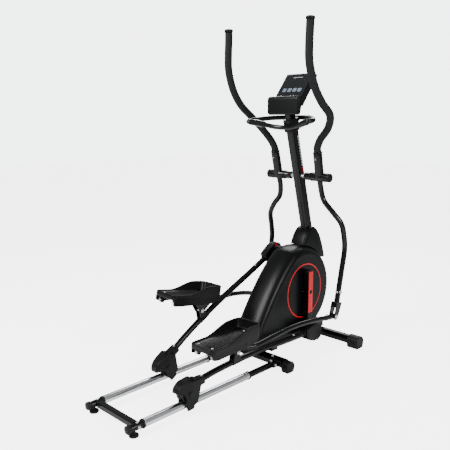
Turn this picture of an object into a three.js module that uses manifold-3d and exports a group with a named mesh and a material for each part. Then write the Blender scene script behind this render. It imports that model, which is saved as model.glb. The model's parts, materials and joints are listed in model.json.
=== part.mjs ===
// Front-drive elliptical trainer, in millimetres.
// +X points to the machine's front (away from the rider), +Y to the rider's left, +Z up.
// The origin is on the floor under the middle of the machine.
import * as THREE from 'three';
import { mergeVertices } from 'three/addons/utils/BufferGeometryUtils.js';
import Module from 'manifold-3d';

const wasm = await Module();
wasm.setup();

// ---------------------------------------------------------------- driving dimensions
const GAP = 0.3;                       // clearance between neighbouring pieces
const LEFT = 1;
const RIGHT = -1;

const RAIL_Y = 142;                    // rails and foot bars run in these two planes
const RAIL_Z = 38;
const RAIL_RADIUS = 15.5;
const SLEEVE_RADIUS = 19;
const SLEEVE_REAR_X = -667;
const SLEEVE_FRONT_X = -41;
const REAR_X = -715;                   // levelling feet under the rails' rear ends
const MID_X = 196;                     // middle floor bar
const FRONT_X = 715;                   // front floor bar
const FRONT_BAR_TOP_Z = 63;

const CRANK_X = 485;                   // crank axle, right to left through the housing
const CRANK_Z = 338;
const CRANK_RADIUS = 200;
const ARM_WIDTH = 38;
const ARM_INNER_Y = 83;
const ARM_OUTER_Y = 122;
const ARM_TAIL = 118;                  // the arm's cover runs on past the axle

const ROLLER_RADIUS = 34;              // running radius of the grooved roller
const ROLLER_Z = RAIL_Z + SLEEVE_RADIUS + GAP + ROLLER_RADIUS;
const FOOT_BAR_LENGTH = 918;           // roller axle to crank pin
const FOOT_BAR_RADIUS = 15;
const FOOT_PIVOT_ALONG = 307;          // pedal pivot, measured from the roller axle along the bar's chord
const FOOT_PIVOT_ABOVE = 83;

const HANDLE_PIVOT_X = 515;            // axle through the mast that both handles swing on
const HANDLE_PIVOT_Z = 955;
const LINK_PIN_X = 525;                // lower end of a handle in its middle position
const LINK_PIN_Y = 256;
const LINK_PIN_Z = 230;
const HANDLE_AT_REST = THREE.MathUtils.degToRad(1.44);   // the right handle's top is forward of the middle

const MAST_LEAN = Math.atan(0.27);     // towards the rider
const MAST_DEPTH = 62;
const MAST_WIDTH = 46;
const MAST_WALL = 3;
const MAST_BOTTOM_Z = 566;
const MAST_TOP_Z = 1256;

const HOUSING_RADIUS = 242;            // round front of the housing, about the crank axle
const HOUSING_HALF_WIDTH = 82;
const HOUSING_ROUNDING = 40;
const HOUSING_WALL = 4;
const HOUSING_BOTTOM_Z = 76;

const FLYWHEEL_X = 268;
const FLYWHEEL_Z = 235;
const FLYWHEEL_RADIUS = 102;
const PULLEY_RADIUS = 108;
const PINION_RADIUS = 18;
const BELT_Y = 30;
const BELT_WIDTH = 14;
const BELT_THICKNESS = 3;

const CONSOLE_WIDTH = 206;
const BUTTON_COUNT = 6;

// ---------------------------------------------------------------- colours
function finish(color, roughness, metalness) {
  return new THREE.MeshStandardMaterial({ color, roughness, metalness });
}

const PAINT = finish(0x121315, 0.35, 0.3);
const PLASTIC = finish(0x17181a, 0.5, 0);
const SOFT_PLASTIC = finish(0x1d1e20, 0.7, 0);
const FOAM = finish(0x242527, 0.95, 0);
const CHROME = finish(0xd5d8da, 0.18, 1);
const STEEL = finish(0x9a9da0, 0.4, 1);
const IRON = finish(0x4a4c4f, 0.6, 0.8);
const RUBBER = finish(0x101010, 0.9, 0);
const SCREEN = finish(0x0b0f14, 0.15, 0);
const BUTTON = finish(0xb9bdc2, 0.5, 0);

// ---------------------------------------------------------------- solids and cuts
function solid(geometry) {
  const bare = geometry.index ? geometry.toNonIndexed() : geometry.clone();
  for (const name of Object.keys(bare.attributes)) if (name !== 'position') bare.deleteAttribute(name);
  const merged = mergeVertices(bare, 1e-3);
  return new wasm.Manifold(new wasm.Mesh({
    numProp: 3,
    vertProperties: Float32Array.from(merged.attributes.position.array),
    triVerts: Uint32Array.from(merged.index.array),
  }));
}

function geometryOf(manifold) {
  const mesh = manifold.getMesh();
  const geometry = new THREE.BufferGeometry();
  geometry.setAttribute('position', new THREE.BufferAttribute(Float32Array.from(mesh.vertProperties), 3));
  geometry.setIndex(new THREE.BufferAttribute(Uint32Array.from(mesh.triVerts), 1));
  geometry.computeVertexNormals();
  return geometry;
}

const join = (...geometries) => geometryOf(geometries.map(solid).reduce((sum, next) => sum.add(next)));

function cut(geometry, ...tools) {
  return geometryOf(tools.map(solid).reduce((rest, tool) => rest.subtract(tool), solid(geometry)));
}

const keep = (geometry, region) => geometryOf(solid(geometry).intersect(solid(region)));

// the same piece for the other side of the machine
function mirrored(geometry) {
  const copy = geometry.index ? geometry.toNonIndexed() : geometry.clone();
  const position = copy.attributes.position;
  for (let i = 0; i < position.count; i += 3) {
    const corners = [0, 2, 1].map((k) => new THREE.Vector3().fromBufferAttribute(position, i + k));
    corners.forEach((corner, k) => position.setXYZ(i + k, corner.x, -corner.y, corner.z));
  }
  copy.computeVertexNormals();
  return copy;
}

// ---------------------------------------------------------------- basic shapes
const vec = (x, y, z) => new THREE.Vector3(x, y, z);

function block(x0, x1, y0, y1, z0, z1) {
  const middle = [(x0 + x1) / 2, (y0 + y1) / 2, (z0 + z1) / 2];
  return new THREE.BoxGeometry(x1 - x0, y1 - y0, z1 - z0).translate(...middle);
}

// cylinder along Y from y0 to y1
function disc(radius, y0, y1, x, z, sides = 20) {
  return new THREE.CylinderGeometry(radius, radius, y1 - y0, sides).translate(x, (y0 + y1) / 2, z);
}

// round piece turned about Y, from pairs of radius and height
function turned(profile, sides = 20) {
  return new THREE.LatheGeometry(profile.map(([r, h]) => new THREE.Vector2(r, h)), sides);
}

function roundShape(radius) {
  return new THREE.Shape().absarc(0, 0, radius, 0, 2 * Math.PI);
}

// round tube along a curve, solid inside
function bar(curve, radius, steps, sides = 10, shape = roundShape(radius)) {
  const options = { extrudePath: curve, steps, curveSegments: sides / 2, bevelEnabled: false };
  return new THREE.ExtrudeGeometry(shape, options);
}

const straight = (from, to) => new THREE.LineCurve3(from, to);

const smooth = (points, closed = false) => new THREE.CatmullRomCurve3(points, closed, 'centripetal');

// outline drawn in X and Z, extruded from y0 to y1
function plate(shape, y0, y1, bevel = 0, curveSegments = 12) {
  const options = {
    depth: y1 - y0 - 2 * bevel,
    bevelEnabled: bevel > 0,
    bevelThickness: bevel,
    bevelSize: bevel,
    bevelOffset: -bevel,
    bevelSegments: 2,
    curveSegments,
  };
  return new THREE.ExtrudeGeometry(shape, options).rotateX(Math.PI / 2).translate(0, y1 - bevel, 0);
}

function outline(points) {
  return new THREE.Shape(points.map(([x, z]) => new THREE.Vector2(x, z)));
}

function roundedRectangle(width, height, radius) {
  const w = width / 2 - radius;
  const h = height / 2 - radius;
  const shape = new THREE.Shape();
  shape.absarc(w, h, radius, 0, Math.PI / 2);
  shape.absarc(-w, h, radius, Math.PI / 2, Math.PI);
  shape.absarc(-w, -h, radius, Math.PI, 1.5 * Math.PI);
  shape.absarc(w, -h, radius, 1.5 * Math.PI, 2 * Math.PI);
  shape.closePath();
  return shape;
}

// ---------------------------------------------------------------- the scene graph
const machine = new THREE.Group();

function add(name, geometry, material, parent = machine) {
  const mesh = new THREE.Mesh(geometry, material);
  mesh.name = name;
  parent.add(mesh);
  return mesh;
}

const SIDES = [[LEFT, 'L'], [RIGHT, 'R']];

// adds a left piece and its mirror image
function addPair(name, geometry, material) {
  for (const [side, letter] of SIDES) {
    add(`${name}_${letter}`, side === LEFT ? geometry : mirrored(geometry), material);
  }
}

// ---------------------------------------------------------------- floor frame
const FLOOR_BAR_HALF_DEPTH = 30;
const FLOOR_BAR_HALF_HEIGHT = 18;

// lengthwise bar with rounded edges, lying across the machine
function crossBar(x, z, halfDepth, halfHeight, halfLength, radius) {
  const shape = roundedRectangle(2 * halfDepth, 2 * halfHeight, radius);
  return plate(shape, -halfLength, halfLength, 0, 4).translate(x, 0, z);
}

// moulded cap over the end of a cross bar, flat where it stands on the floor
function floorCap(x, barZ, halfDepth, halfHeight, fromY, toY) {
  const top = barZ + halfHeight;
  const shape = new THREE.Shape();
  shape.moveTo(-halfDepth * 0.75, 0);
  shape.lineTo(halfDepth * 0.75, 0);
  shape.lineTo(halfDepth, top * 0.4);
  shape.absarc(0, top - halfDepth, halfDepth, 0, Math.PI);
  shape.lineTo(-halfDepth, top * 0.4);
  shape.closePath();
  return plate(shape, fromY, toY, 3, 5).translate(x, 0, 0);
}

function floorFrame() {
  const rearTubeEnd = REAR_X - 19;
  const frontTubeEnd = MID_X - FLOOR_BAR_HALF_DEPTH - GAP;
  const tubeLine = straight(vec(rearTubeEnd, RAIL_Y, RAIL_Z), vec(frontTubeEnd, RAIL_Y, RAIL_Z));
  addPair('rail_tube', bar(tubeLine, RAIL_RADIUS, 1, 20), PAINT);

  addPair('rail_sleeve', railSleeve(), CHROME);

  const capRadius = RAIL_RADIUS + 3;
  const capLength = 16.7;
  const cap = turned([
    [0, 0], [capRadius - 3, 0], [capRadius, 3], [capRadius, capLength], [0, capLength],
  ]);
  cap.rotateZ(-Math.PI / 2).translate(rearTubeEnd - GAP - capLength, RAIL_Y, RAIL_Z);
  addPair('rear_end_cap', cap, SOFT_PLASTIC);

  const crossEnd = RAIL_Y - RAIL_RADIUS - GAP;
  add('rear_crossbar', block(REAR_X + 2, REAR_X + 32, -crossEnd, crossEnd, RAIL_Z - 13, RAIL_Z + 13), PAINT);

  addPair('levelling_foot', levellingFoot(), RUBBER);

  add('mid_stabilizer', crossBar(MID_X, RAIL_Z, FLOOR_BAR_HALF_DEPTH, FLOOR_BAR_HALF_HEIGHT, 182, 12), PAINT);
  addPair('mid_cap', floorCap(MID_X, RAIL_Z, 33, 21, 182 + GAP, 222), SOFT_PLASTIC);

  add('front_stabilizer', crossBar(FRONT_X, RAIL_Z, 25, 25, 232, 24), PAINT);
  addPair('front_cap', floorCap(FRONT_X, RAIL_Z + 2, 36, 30, 232 + GAP, 300), SOFT_PLASTIC);
}

// bright sleeve that wraps the rail tube and is open underneath
function railSleeve() {
  const opening = THREE.MathUtils.degToRad(55);
  const from = -Math.PI / 2 + opening;
  const to = 1.5 * Math.PI - opening;
  const shape = new THREE.Shape();
  shape.absarc(0, 0, SLEEVE_RADIUS, from, to);
  shape.absarc(0, 0, RAIL_RADIUS + GAP, to, from, true);
  shape.closePath();
  const length = SLEEVE_FRONT_X - SLEEVE_REAR_X;
  const options = { depth: length, bevelEnabled: false, curveSegments: 12 };
  const geometry = new THREE.ExtrudeGeometry(shape, options);
  // the shape's x turns to -Y and its y to +Z, so that the opening points down
  geometry.rotateX(Math.PI / 2).rotateZ(Math.PI / 2);
  return geometry.translate(SLEEVE_REAR_X, RAIL_Y, RAIL_Z);
}

// threaded foot under the rear end of a rail
function levellingFoot() {
  const top = RAIL_Z - RAIL_RADIUS - GAP;
  const profile = [[0, 0], [19, 0], [21, 3], [21, 9], [16, 12], [7, 12], [7, top], [0, top]];
  return turned(profile).rotateX(Math.PI / 2).translate(REAR_X, RAIL_Y, 0);
}

// ---------------------------------------------------------------- main frame and mast
const mastXAt = (z) => HANDLE_PIVOT_X + 3 - (z - HANDLE_PIVOT_Z) * Math.tan(MAST_LEAN);

// a length of the mast's section, from one height to another
function mastLength(fromZ, toZ, widen = 0, hollow = false) {
  const shape = roundedRectangle(MAST_DEPTH + 2 * widen, MAST_WIDTH + 2 * widen, 16 + widen);
  if (hollow) shape.holes.push(roundedRectangle(MAST_DEPTH - 2 * MAST_WALL, MAST_WIDTH - 2 * MAST_WALL, 13));
  const length = (toZ - fromZ) / Math.cos(MAST_LEAN);
  const geometry = new THREE.ExtrudeGeometry(shape, { depth: length, bevelEnabled: false, curveSegments: 4 });
  return geometry.rotateY(-MAST_LEAN).translate(mastXAt(fromZ), 0, fromZ);
}

function mainFrame() {
  const beamRear = MID_X + FLOOR_BAR_HALF_DEPTH + GAP;
  const beamFront = FRONT_X - 25 - GAP;
  const barTop = FRONT_BAR_TOP_Z + GAP;
  const beam = block(beamRear, beamFront, -25, 25, 48, 82);
  const foot = block(beamFront - 62, beamFront, -28, 28, 40, 104);
  const overBar = block(beamFront - 30, FRONT_X + 22, -34, 34, barTop, barTop + 42);
  const postTop = vec(mastXAt(MAST_BOTTOM_Z - 30), 0, MAST_BOTTOM_Z - 30);
  const post = bar(straight(vec(beamFront - 32, 0, 60), postTop), 24, 1, 12);
  const socket = mastLength(MAST_BOTTOM_Z - 60, MAST_BOTTOM_Z - GAP);
  const bearingShell = disc(30, -20, 20, CRANK_X, CRANK_Z);
  const bracket = block(CRANK_X, 640, -14, 14, CRANK_Z - 22, CRANK_Z + 22);
  const strut = bar(straight(vec(CRANK_X - 66, 0, 66), vec(CRANK_X, 0, CRANK_Z)), 16, 1, 10);
  const cheekFoot = block(FLYWHEEL_X - 24, FLYWHEEL_X + 24, -56, 56, 52, 72);
  const cheeks = [-56, 48].map((y) => block(FLYWHEEL_X - 20, FLYWHEEL_X + 20, y, y + 8, 60, FLYWHEEL_Z + 20));
  const axleBore = disc(12 + GAP, -30, 30, CRANK_X, CRANK_Z);
  const flywheelBore = disc(8 + GAP, -70, 70, FLYWHEEL_X, FLYWHEEL_Z);
  const whole = join(beam, foot, overBar, post, socket, bearingShell, bracket, strut, cheekFoot, ...cheeks);
  add('main_frame', cut(whole, axleBore, flywheelBore), PAINT);
}

function mast() {
  const tube = mastLength(MAST_BOTTOM_Z, MAST_TOP_Z, 0, true);
  const axleBore = disc(12 + GAP, -60, 60, HANDLE_PIVOT_X, HANDLE_PIVOT_Z);
  add('mast', cut(tube, axleBore), PAINT);
  add('pivot_axle', disc(12, -194, 194, HANDLE_PIVOT_X, HANDLE_PIVOT_Z), STEEL);
}

// ---------------------------------------------------------------- housing
// side outline of the housing, drawn inset by a distance
function housingOutline(inset) {
  const radius = HOUSING_RADIUS - inset;
  const shape = new THREE.Shape();
  shape.moveTo(64 + inset, HOUSING_BOTTOM_Z + inset);
  shape.lineTo(CRANK_X + 70, HOUSING_BOTTOM_Z + inset);
  shape.absarc(CRANK_X, CRANK_Z, radius, THREE.MathUtils.degToRad(-68), THREE.MathUtils.degToRad(112));
  shape.quadraticCurveTo(235 + inset * 0.85, 440 - inset * 0.6, 64 + inset, 128 + inset * 0.4);
  shape.closePath();
  return shape;
}

// whole housing volume, made smaller or larger all round
function housingVolume(inset) {
  const shape = housingOutline(inset);
  const half = HOUSING_HALF_WIDTH - inset;
  return plate(shape, -half, half, HOUSING_ROUNDING - inset, 12);
}

function housing() {
  const passages = [
    disc(22, -120, 120, CRANK_X, CRANK_Z),
    block(FRONT_X - 130, FRONT_X, -28 - GAP, 28 + GAP, 60, 230),
    mastLength(460, 640, 1.5),
    block(FLYWHEEL_X - 28, FLYWHEEL_X + 28, -60, 60, 60, HOUSING_BOTTOM_Z + 10),
    block(40, 640, -25 - 3, 25 + 3, 60, HOUSING_BOTTOM_Z + 10),
  ];
  const shell = cut(housingVolume(0), housingVolume(HOUSING_WALL), ...passages);
  const leftHalf = block(0, 900, GAP / 2, 200, 0, 800);
  addPair('housing_shell', keep(shell, leftHalf), PLASTIC);
}

// domed cover where the mast comes out of the housing
function mastBoot() {
  const boot = (inset, bevel) => {
    const shape = new THREE.Shape();
    shape.moveTo(455 + inset, 500);
    shape.quadraticCurveTo(520 + inset * 0.5, 668 - inset, 600, 670 - inset);
    shape.quadraticCurveTo(668 - inset * 0.5, 668 - inset, 722 - inset, 480);
    shape.closePath();
    return plate(shape, -46 + inset, 46 - inset, bevel, 8);
  };
  const below = block(300, 800, -100, 100, 470, 520);
  const mastRoom = mastLength(480, 740, GAP);
  const cover = cut(boot(0, 10), boot(HOUSING_WALL, 6), housingVolume(-GAP), mastRoom, below);
  add('mast_boot', cover, PLASTIC);
}

// ---------------------------------------------------------------- drive inside the housing
function beltLoop(offset) {
  const dx = FLYWHEEL_X - CRANK_X;
  const dz = FLYWHEEL_Z - CRANK_Z;
  const distance = Math.hypot(dx, dz);
  const heading = Math.atan2(dz, dx);
  const spread = Math.acos((PULLEY_RADIUS - PINION_RADIUS) / distance);
  const shape = new THREE.Shape();
  shape.absarc(CRANK_X, CRANK_Z, PULLEY_RADIUS + offset, heading + spread, heading - spread + 2 * Math.PI);
  shape.absarc(FLYWHEEL_X, FLYWHEEL_Z, PINION_RADIUS + offset, heading - spread, heading + spread);
  shape.closePath();
  return shape;
}

function drive() {
  const beltEdge = BELT_WIDTH / 2;
  const axle = disc(12, -ARM_INNER_Y + GAP, ARM_INNER_Y - GAP, CRANK_X, CRANK_Z);
  add('crank_axle', axle, STEEL);

  const pulleyRim = disc(PULLEY_RADIUS, BELT_Y - beltEdge, BELT_Y + beltEdge, CRANK_X, CRANK_Z, 32);
  const windows = Array.from({ length: 5 }, (_, i) => {
    const angle = (i * 2 * Math.PI) / 5;
    return disc(26, 0, 60, CRANK_X + 66 * Math.cos(angle), CRANK_Z + 66 * Math.sin(angle), 10);
  });
  add('crank_pulley', cut(pulleyRim, disc(12 + GAP, 0, 60, CRANK_X, CRANK_Z), ...windows), STEEL);

  const belt = beltLoop(GAP + BELT_THICKNESS);
  belt.holes.push(beltLoop(GAP));
  add('drive_belt', plate(belt, BELT_Y - beltEdge, BELT_Y + beltEdge, 0, 14), RUBBER);

  const rim = disc(FLYWHEEL_RADIUS, -26, 4, FLYWHEEL_X, FLYWHEEL_Z, 32);
  const web = disc(FLYWHEEL_RADIUS - 18, -40, -18, FLYWHEEL_X, FLYWHEEL_Z, 24);
  const flyAxle = disc(8, -60, 60, FLYWHEEL_X, FLYWHEEL_Z, 16);
  const pinion = disc(PINION_RADIUS, BELT_Y - beltEdge, BELT_Y + beltEdge, FLYWHEEL_X, FLYWHEEL_Z, 24);
  const flySpacer = disc(13, -30, BELT_Y, FLYWHEEL_X, FLYWHEEL_Z, 16);
  add('flywheel', join(cut(rim, web), flyAxle, pinion, flySpacer), IRON);

  const magnet = new THREE.Shape();
  const from = THREE.MathUtils.degToRad(45);
  const to = THREE.MathUtils.degToRad(105);
  magnet.absarc(0, 0, FLYWHEEL_RADIUS + 14, from, to);
  magnet.absarc(0, 0, FLYWHEEL_RADIUS + 6, to, from, true);
  magnet.closePath();
  add('magnet_bracket', plate(magnet, -30, 8, 0, 10).translate(FLYWHEEL_X, 0, FLYWHEEL_Z), STEEL);

  add('idler_pulley', idlerPulley(), PLASTIC);
}

// small pulley that presses on the belt's lower run from outside
function idlerPulley() {
  const heading = Math.atan2(FLYWHEEL_Z - CRANK_Z, FLYWHEEL_X - CRANK_X);
  const distance = Math.hypot(FLYWHEEL_X - CRANK_X, FLYWHEEL_Z - CRANK_Z);
  const spread = Math.acos((PULLEY_RADIUS - PINION_RADIUS) / distance);
  const normal = heading + spread;
  const idlerRadius = 14;
  const reach = PINION_RADIUS + GAP + BELT_THICKNESS + GAP + idlerRadius;
  const alongBelt = 60;
  const x = FLYWHEEL_X + reach * Math.cos(normal) - alongBelt * Math.sin(normal);
  const z = FLYWHEEL_Z + reach * Math.sin(normal) + alongBelt * Math.cos(normal);
  return disc(idlerRadius, BELT_Y - 8, BELT_Y + 8, x, z, 20);
}

// crank arm with its square cover, for the left side, pin end up
function crankArm() {
  const half = ARM_WIDTH / 2;
  const arm = block(-half, half, ARM_INNER_Y, ARM_OUTER_Y, -ARM_TAIL, CRANK_RADIUS + 20);
  const pin = disc(9, ARM_OUTER_Y - 1, ARM_OUTER_Y + 3, 0, CRANK_RADIUS, 16);
  return join(arm, pin);
}

function cranks() {
  for (const [side, letter] of SIDES) {
    const pivot = new THREE.Group();
    pivot.position.set(CRANK_X, 0, CRANK_Z);
    pivot.rotation.y = side === LEFT ? 0 : Math.PI;
    add(`crank_arm_${letter}`, side === LEFT ? crankArm() : mirrored(crankArm()), PLASTIC, pivot);
    machine.add(pivot);
  }
}

// ---------------------------------------------------------------- linkage at rest
const pinZ = (side) => CRANK_Z + side * CRANK_RADIUS;
const barSlope = (side) => Math.asin((pinZ(side) - ROLLER_Z) / FOOT_BAR_LENGTH);
const rollerX = (side) => CRANK_X - FOOT_BAR_LENGTH * Math.cos(barSlope(side));

function footPivot(side) {
  const slope = barSlope(side);
  const x = rollerX(side) + FOOT_PIVOT_ALONG * Math.cos(slope) - FOOT_PIVOT_ABOVE * Math.sin(slope);
  const z = ROLLER_Z + FOOT_PIVOT_ALONG * Math.sin(slope) + FOOT_PIVOT_ABOVE * Math.cos(slope);
  return { x, z };
}

// pin between handle and link, with the handle turned from its middle position
function linkPin(side) {
  const turn = -side * HANDLE_AT_REST;
  const dx = LINK_PIN_X - HANDLE_PIVOT_X;
  const dz = LINK_PIN_Z - HANDLE_PIVOT_Z;
  const x = HANDLE_PIVOT_X + dx * Math.cos(turn) + dz * Math.sin(turn);
  const z = HANDLE_PIVOT_Z + dz * Math.cos(turn) - dx * Math.sin(turn);
  return { x, z };
}

// from the pedal pivot to the link pin
function linkSpan(side) {
  const pin = linkPin(side);
  const pivot = footPivot(side);
  return { dx: pin.x - pivot.x, dz: pin.z - pivot.z };
}

const linkLength = Math.hypot(linkSpan(RIGHT).dx, linkSpan(RIGHT).dz);

const linkSlope = (side) => Math.atan2(linkSpan(side).dz, linkSpan(side).dx);

// group at a pivot in a side's plane, tilted nose-up by a slope
function tiltedGroup(side, x, z, slope) {
  const group = new THREE.Group();
  group.position.set(x, side * RAIL_Y, z);
  group.rotation.y = -slope;
  machine.add(group);
  return group;
}

// ---------------------------------------------------------------- roller, its axle and cover
function rollerWheel() {
  const half = 21;
  const lip = ROLLER_RADIUS + 8;
  const bore = 6 + GAP;
  const groove = [-14, -7, 0, 7, 14].map((y) => {
    const radius = ROLLER_Z - RAIL_Z - Math.sqrt((SLEEVE_RADIUS + 3 * GAP) ** 2 - y ** 2);
    return [Math.min(radius, lip), y];
  });
  const inner = [[lip, half], [bore, half], [bore, -half]];
  return turned([[bore, -half], [lip, -half], [lip, -17], ...groove, [lip, 17], ...inner], 24);
}

// cover over the roller, fixed to the foot bar, with its cheeks beside the rail
function rollerCover() {
  const body = new THREE.Shape();
  body.moveTo(-64, 16);
  body.lineTo(-62, 30);
  body.quadraticCurveTo(-50, 54, -14, 55);
  body.lineTo(38, 51);
  body.lineTo(62, 20);
  body.lineTo(36, -54);
  body.lineTo(18, -58);
  body.lineTo(16, -66);
  body.lineTo(-22, -66);
  body.lineTo(-26, -22);
  body.quadraticCurveTo(-26, 14, -64, 16);
  const outer = plate(body, -32, 32, 3, 6);
  const wheelRoom = disc(ROLLER_RADIUS + 12, -24, 24, 0, 0, 32);
  const railRoom = block(-120, 120, -24, 24, -100, 0);
  const axleBore = disc(6 + GAP, -40, 40, 0, 0, 16);
  return cut(outer, wheelRoom, railRoom, axleBore);
}

// ---------------------------------------------------------------- foot bar
function footBar() {
  const path = smooth([
    vec(64 + GAP + 1, 0, 24), vec(160, 0, 31), vec(300, 0, 33), vec(480, 0, 25), vec(700, 0, 6),
    vec(FOOT_BAR_LENGTH - 16, 0, -8),
  ]);
  const tube = bar(path, FOOT_BAR_RADIUS, 12);
  const bearingEye = disc(24, -14, 14, FOOT_BAR_LENGTH, 0, 24);
  const cheek = new THREE.Shape();
  cheek.moveTo(FOOT_PIVOT_ALONG - 30, 24);
  cheek.lineTo(FOOT_PIVOT_ALONG + 30, 24);
  cheek.absarc(FOOT_PIVOT_ALONG, FOOT_PIVOT_ABOVE, 11, 0, Math.PI);
  cheek.closePath();
  const cheeks = [plate(cheek, 11, 17, 0, 6), plate(cheek, -17, -11, 0, 6)];
  const pin = disc(6, -26, 26, FOOT_PIVOT_ALONG, FOOT_PIVOT_ABOVE, 16);
  return join(tube, bearingEye, ...cheeks, pin);
}

// rounded cover over the crank bearing at the front end of the foot bar
function bearingCover() {
  const shape = new THREE.Shape();
  shape.moveTo(-84, -28);
  shape.lineTo(-84, 22);
  shape.quadraticCurveTo(-30, 33, 8, 30);
  shape.quadraticCurveTo(46, 26, 50, -12);
  shape.quadraticCurveTo(50, -52, 12, -60);
  shape.quadraticCurveTo(-34, -62, -84, -28);
  const body = plate(shape, -16.5, 26, 4, 6).translate(FOOT_BAR_LENGTH, 0, 0);
  const eyeRoom = disc(24 + GAP, -30, 14 + GAP, FOOT_BAR_LENGTH, 0, 24);
  const barRoom = bar(straight(vec(700, 0, 6), vec(FOOT_BAR_LENGTH, 0, -9)), FOOT_BAR_RADIUS + 2, 1, 16);
  return cut(body, eyeRoom, barRoom);
}

// ---------------------------------------------------------------- pedal and link arm
const LINK_RADIUS = 12.5;
const PEDAL_FLOOR_Z = 65;              // underside of the pedal above its pivot
const PEDAL_TILT = THREE.MathUtils.degToRad(-3.2);   // toes down from the link's line
const PEDAL_REAR_X = -230;
const PEDAL_FRONT_X = 92;

// link from the pedal pivot to the handle, with the bracket that carries the pedal
function linkArm() {
  const outward = LINK_PIN_Y - RAIL_Y;
  const path = smooth([
    vec(20, 24, 16), vec(46, 40, 12), vec(80, 56, 13), vec(124, 64, 17), vec(188, 72, 24), vec(300, 84, 34),
    vec(390, 95, 33), vec(480, 106, 25), vec(570, outward, 11), vec(linkLength, outward, 0),
  ]);
  const tube = bar(path, LINK_RADIUS, 20);
  const eye = disc(14, outward - 9, outward + 9, linkLength, 0, 20);
  const side = new THREE.Shape();
  side.moveTo(-66, PEDAL_FLOOR_Z - 2);
  side.lineTo(78, PEDAL_FLOOR_Z - 2);
  side.absarc(0, 0, 13, THREE.MathUtils.degToRad(-35), THREE.MathUtils.degToRad(-145), true);
  side.closePath();
  const innerY = 17 + GAP;
  const sides = [plate(side, innerY, innerY + 5, 0, 6), plate(side, -innerY - 5, -innerY, 0, 6)];
  const table = block(PEDAL_REAR_X + 20, PEDAL_FRONT_X - 12, -30, 48, PEDAL_FLOOR_Z - 5, PEDAL_FLOOR_Z - GAP);
  const bracket = [...sides, table].map((piece) => piece.rotateY(-PEDAL_TILT));
  const bore = disc(6 + GAP, -60, 60, 0, 0, 16);
  return cut(join(tube, eye, ...bracket), bore);
}

// foot tray with walls that rise towards the toes
function pedal() {
  const rearHalf = 72;
  const frontHalf = 71;
  const middle = 14;
  const plan = (inset) => {
    const shape = new THREE.Shape();
    const radius = 22 - inset;
    const front = PEDAL_FRONT_X - inset - radius;
    const rear = PEDAL_REAR_X + inset + radius;
    shape.absarc(front, frontHalf - inset - radius, radius, 0, Math.PI / 2);
    shape.absarc(rear, rearHalf - inset - radius, radius, Math.PI / 2, Math.PI);
    shape.absarc(rear, -(rearHalf - inset - radius), radius, Math.PI, 1.5 * Math.PI);
    shape.absarc(front, -(frontHalf - inset - radius), radius, 1.5 * Math.PI, 2 * Math.PI);
    shape.closePath();
    return shape;
  };
  const prism = (inset, z0, z1) => {
    const options = { depth: z1 - z0, bevelEnabled: false, curveSegments: 5 };
    return new THREE.ExtrudeGeometry(plan(inset), options).translate(0, middle, z0);
  };
  const wallTop = new THREE.Shape();
  wallTop.moveTo(PEDAL_REAR_X - 10, PEDAL_FLOOR_Z + 26);
  wallTop.lineTo(PEDAL_FRONT_X - 205, PEDAL_FLOOR_Z + 28);
  wallTop.bezierCurveTo(
    PEDAL_FRONT_X - 145, PEDAL_FLOOR_Z + 29, PEDAL_FRONT_X - 145, PEDAL_FLOOR_Z + 63,
    PEDAL_FRONT_X - 85, PEDAL_FLOOR_Z + 65,
  );
  wallTop.lineTo(PEDAL_FRONT_X + 10, PEDAL_FLOOR_Z + 66);
  wallTop.lineTo(PEDAL_FRONT_X + 10, 200);
  wallTop.lineTo(PEDAL_REAR_X - 10, 200);
  const above = plate(wallTop, -120, 120, 0, 8);
  const tray = cut(prism(0, PEDAL_FLOOR_Z, PEDAL_FLOOR_Z + 70), prism(5, PEDAL_FLOOR_Z + 18, 200), above);
  return tray.rotateY(-PEDAL_TILT);
}

function linkages() {
  for (const [side, letter] of SIDES) {
    const own = (geometry) => (side === LEFT ? geometry : mirrored(geometry));
    const barGroup = tiltedGroup(side, rollerX(side), ROLLER_Z, barSlope(side));
    add(`roller_wheel_${letter}`, own(rollerWheel()), SOFT_PLASTIC, barGroup);
    add(`roller_axle_${letter}`, disc(6, -34, 34, 0, 0, 16), STEEL, barGroup);
    add(`roller_cover_${letter}`, own(rollerCover()), PLASTIC, barGroup);
    add(`foot_bar_${letter}`, own(footBar()), PAINT, barGroup);
    add(`bearing_cover_${letter}`, own(bearingCover()), PLASTIC, barGroup);

    const pivot = footPivot(side);
    const linkGroup = tiltedGroup(side, pivot.x, pivot.z, linkSlope(side));
    add(`link_arm_${letter}`, own(linkArm()), PAINT, linkGroup);
    add(`pedal_${letter}`, own(pedal()), PLASTIC, linkGroup);
  }
}

// ---------------------------------------------------------------- swing handles
const HANDLE_Y = 137;                  // plane of the collar on its hub
const GRIP_Y = 241;
const GRIP_RADIUS = 19.5;
const COLLAR_TOP = vec(485, HANDLE_Y + 1, 1088);
const GRIP_TOP = vec(242, GRIP_Y, 1690);

function handleLower() {
  const sleeve = (from, to, radius) => bar(straight(from, to), radius, 1, 18);
  const pivot = vec(HANDLE_PIVOT_X, HANDLE_Y, HANDLE_PIVOT_Z);
  const hub = disc(23, 46, 194, HANDLE_PIVOT_X, HANDLE_PIVOT_Z);
  const collar = sleeve(pivot, COLLAR_TOP, 23.5);
  const path = smooth([
    vec(HANDLE_PIVOT_X + 3, HANDLE_Y, HANDLE_PIVOT_Z - 12), vec(531, HANDLE_Y, 897), vec(543, 151, 833),
    vec(553, 204, 774), vec(574, 246, 715), vec(592, 254, 647), vec(600, LINK_PIN_Y, 585),
    vec(580, LINK_PIN_Y, 462), vec(550, LINK_PIN_Y, 300),
  ]);
  const tube = bar(path, 14.5, 22);
  const bore = disc(12 + GAP, 0, 220, HANDLE_PIVOT_X, HANDLE_PIVOT_Z);
  return cut(join(hub, collar, tube, clevis()), bore);
}

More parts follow.
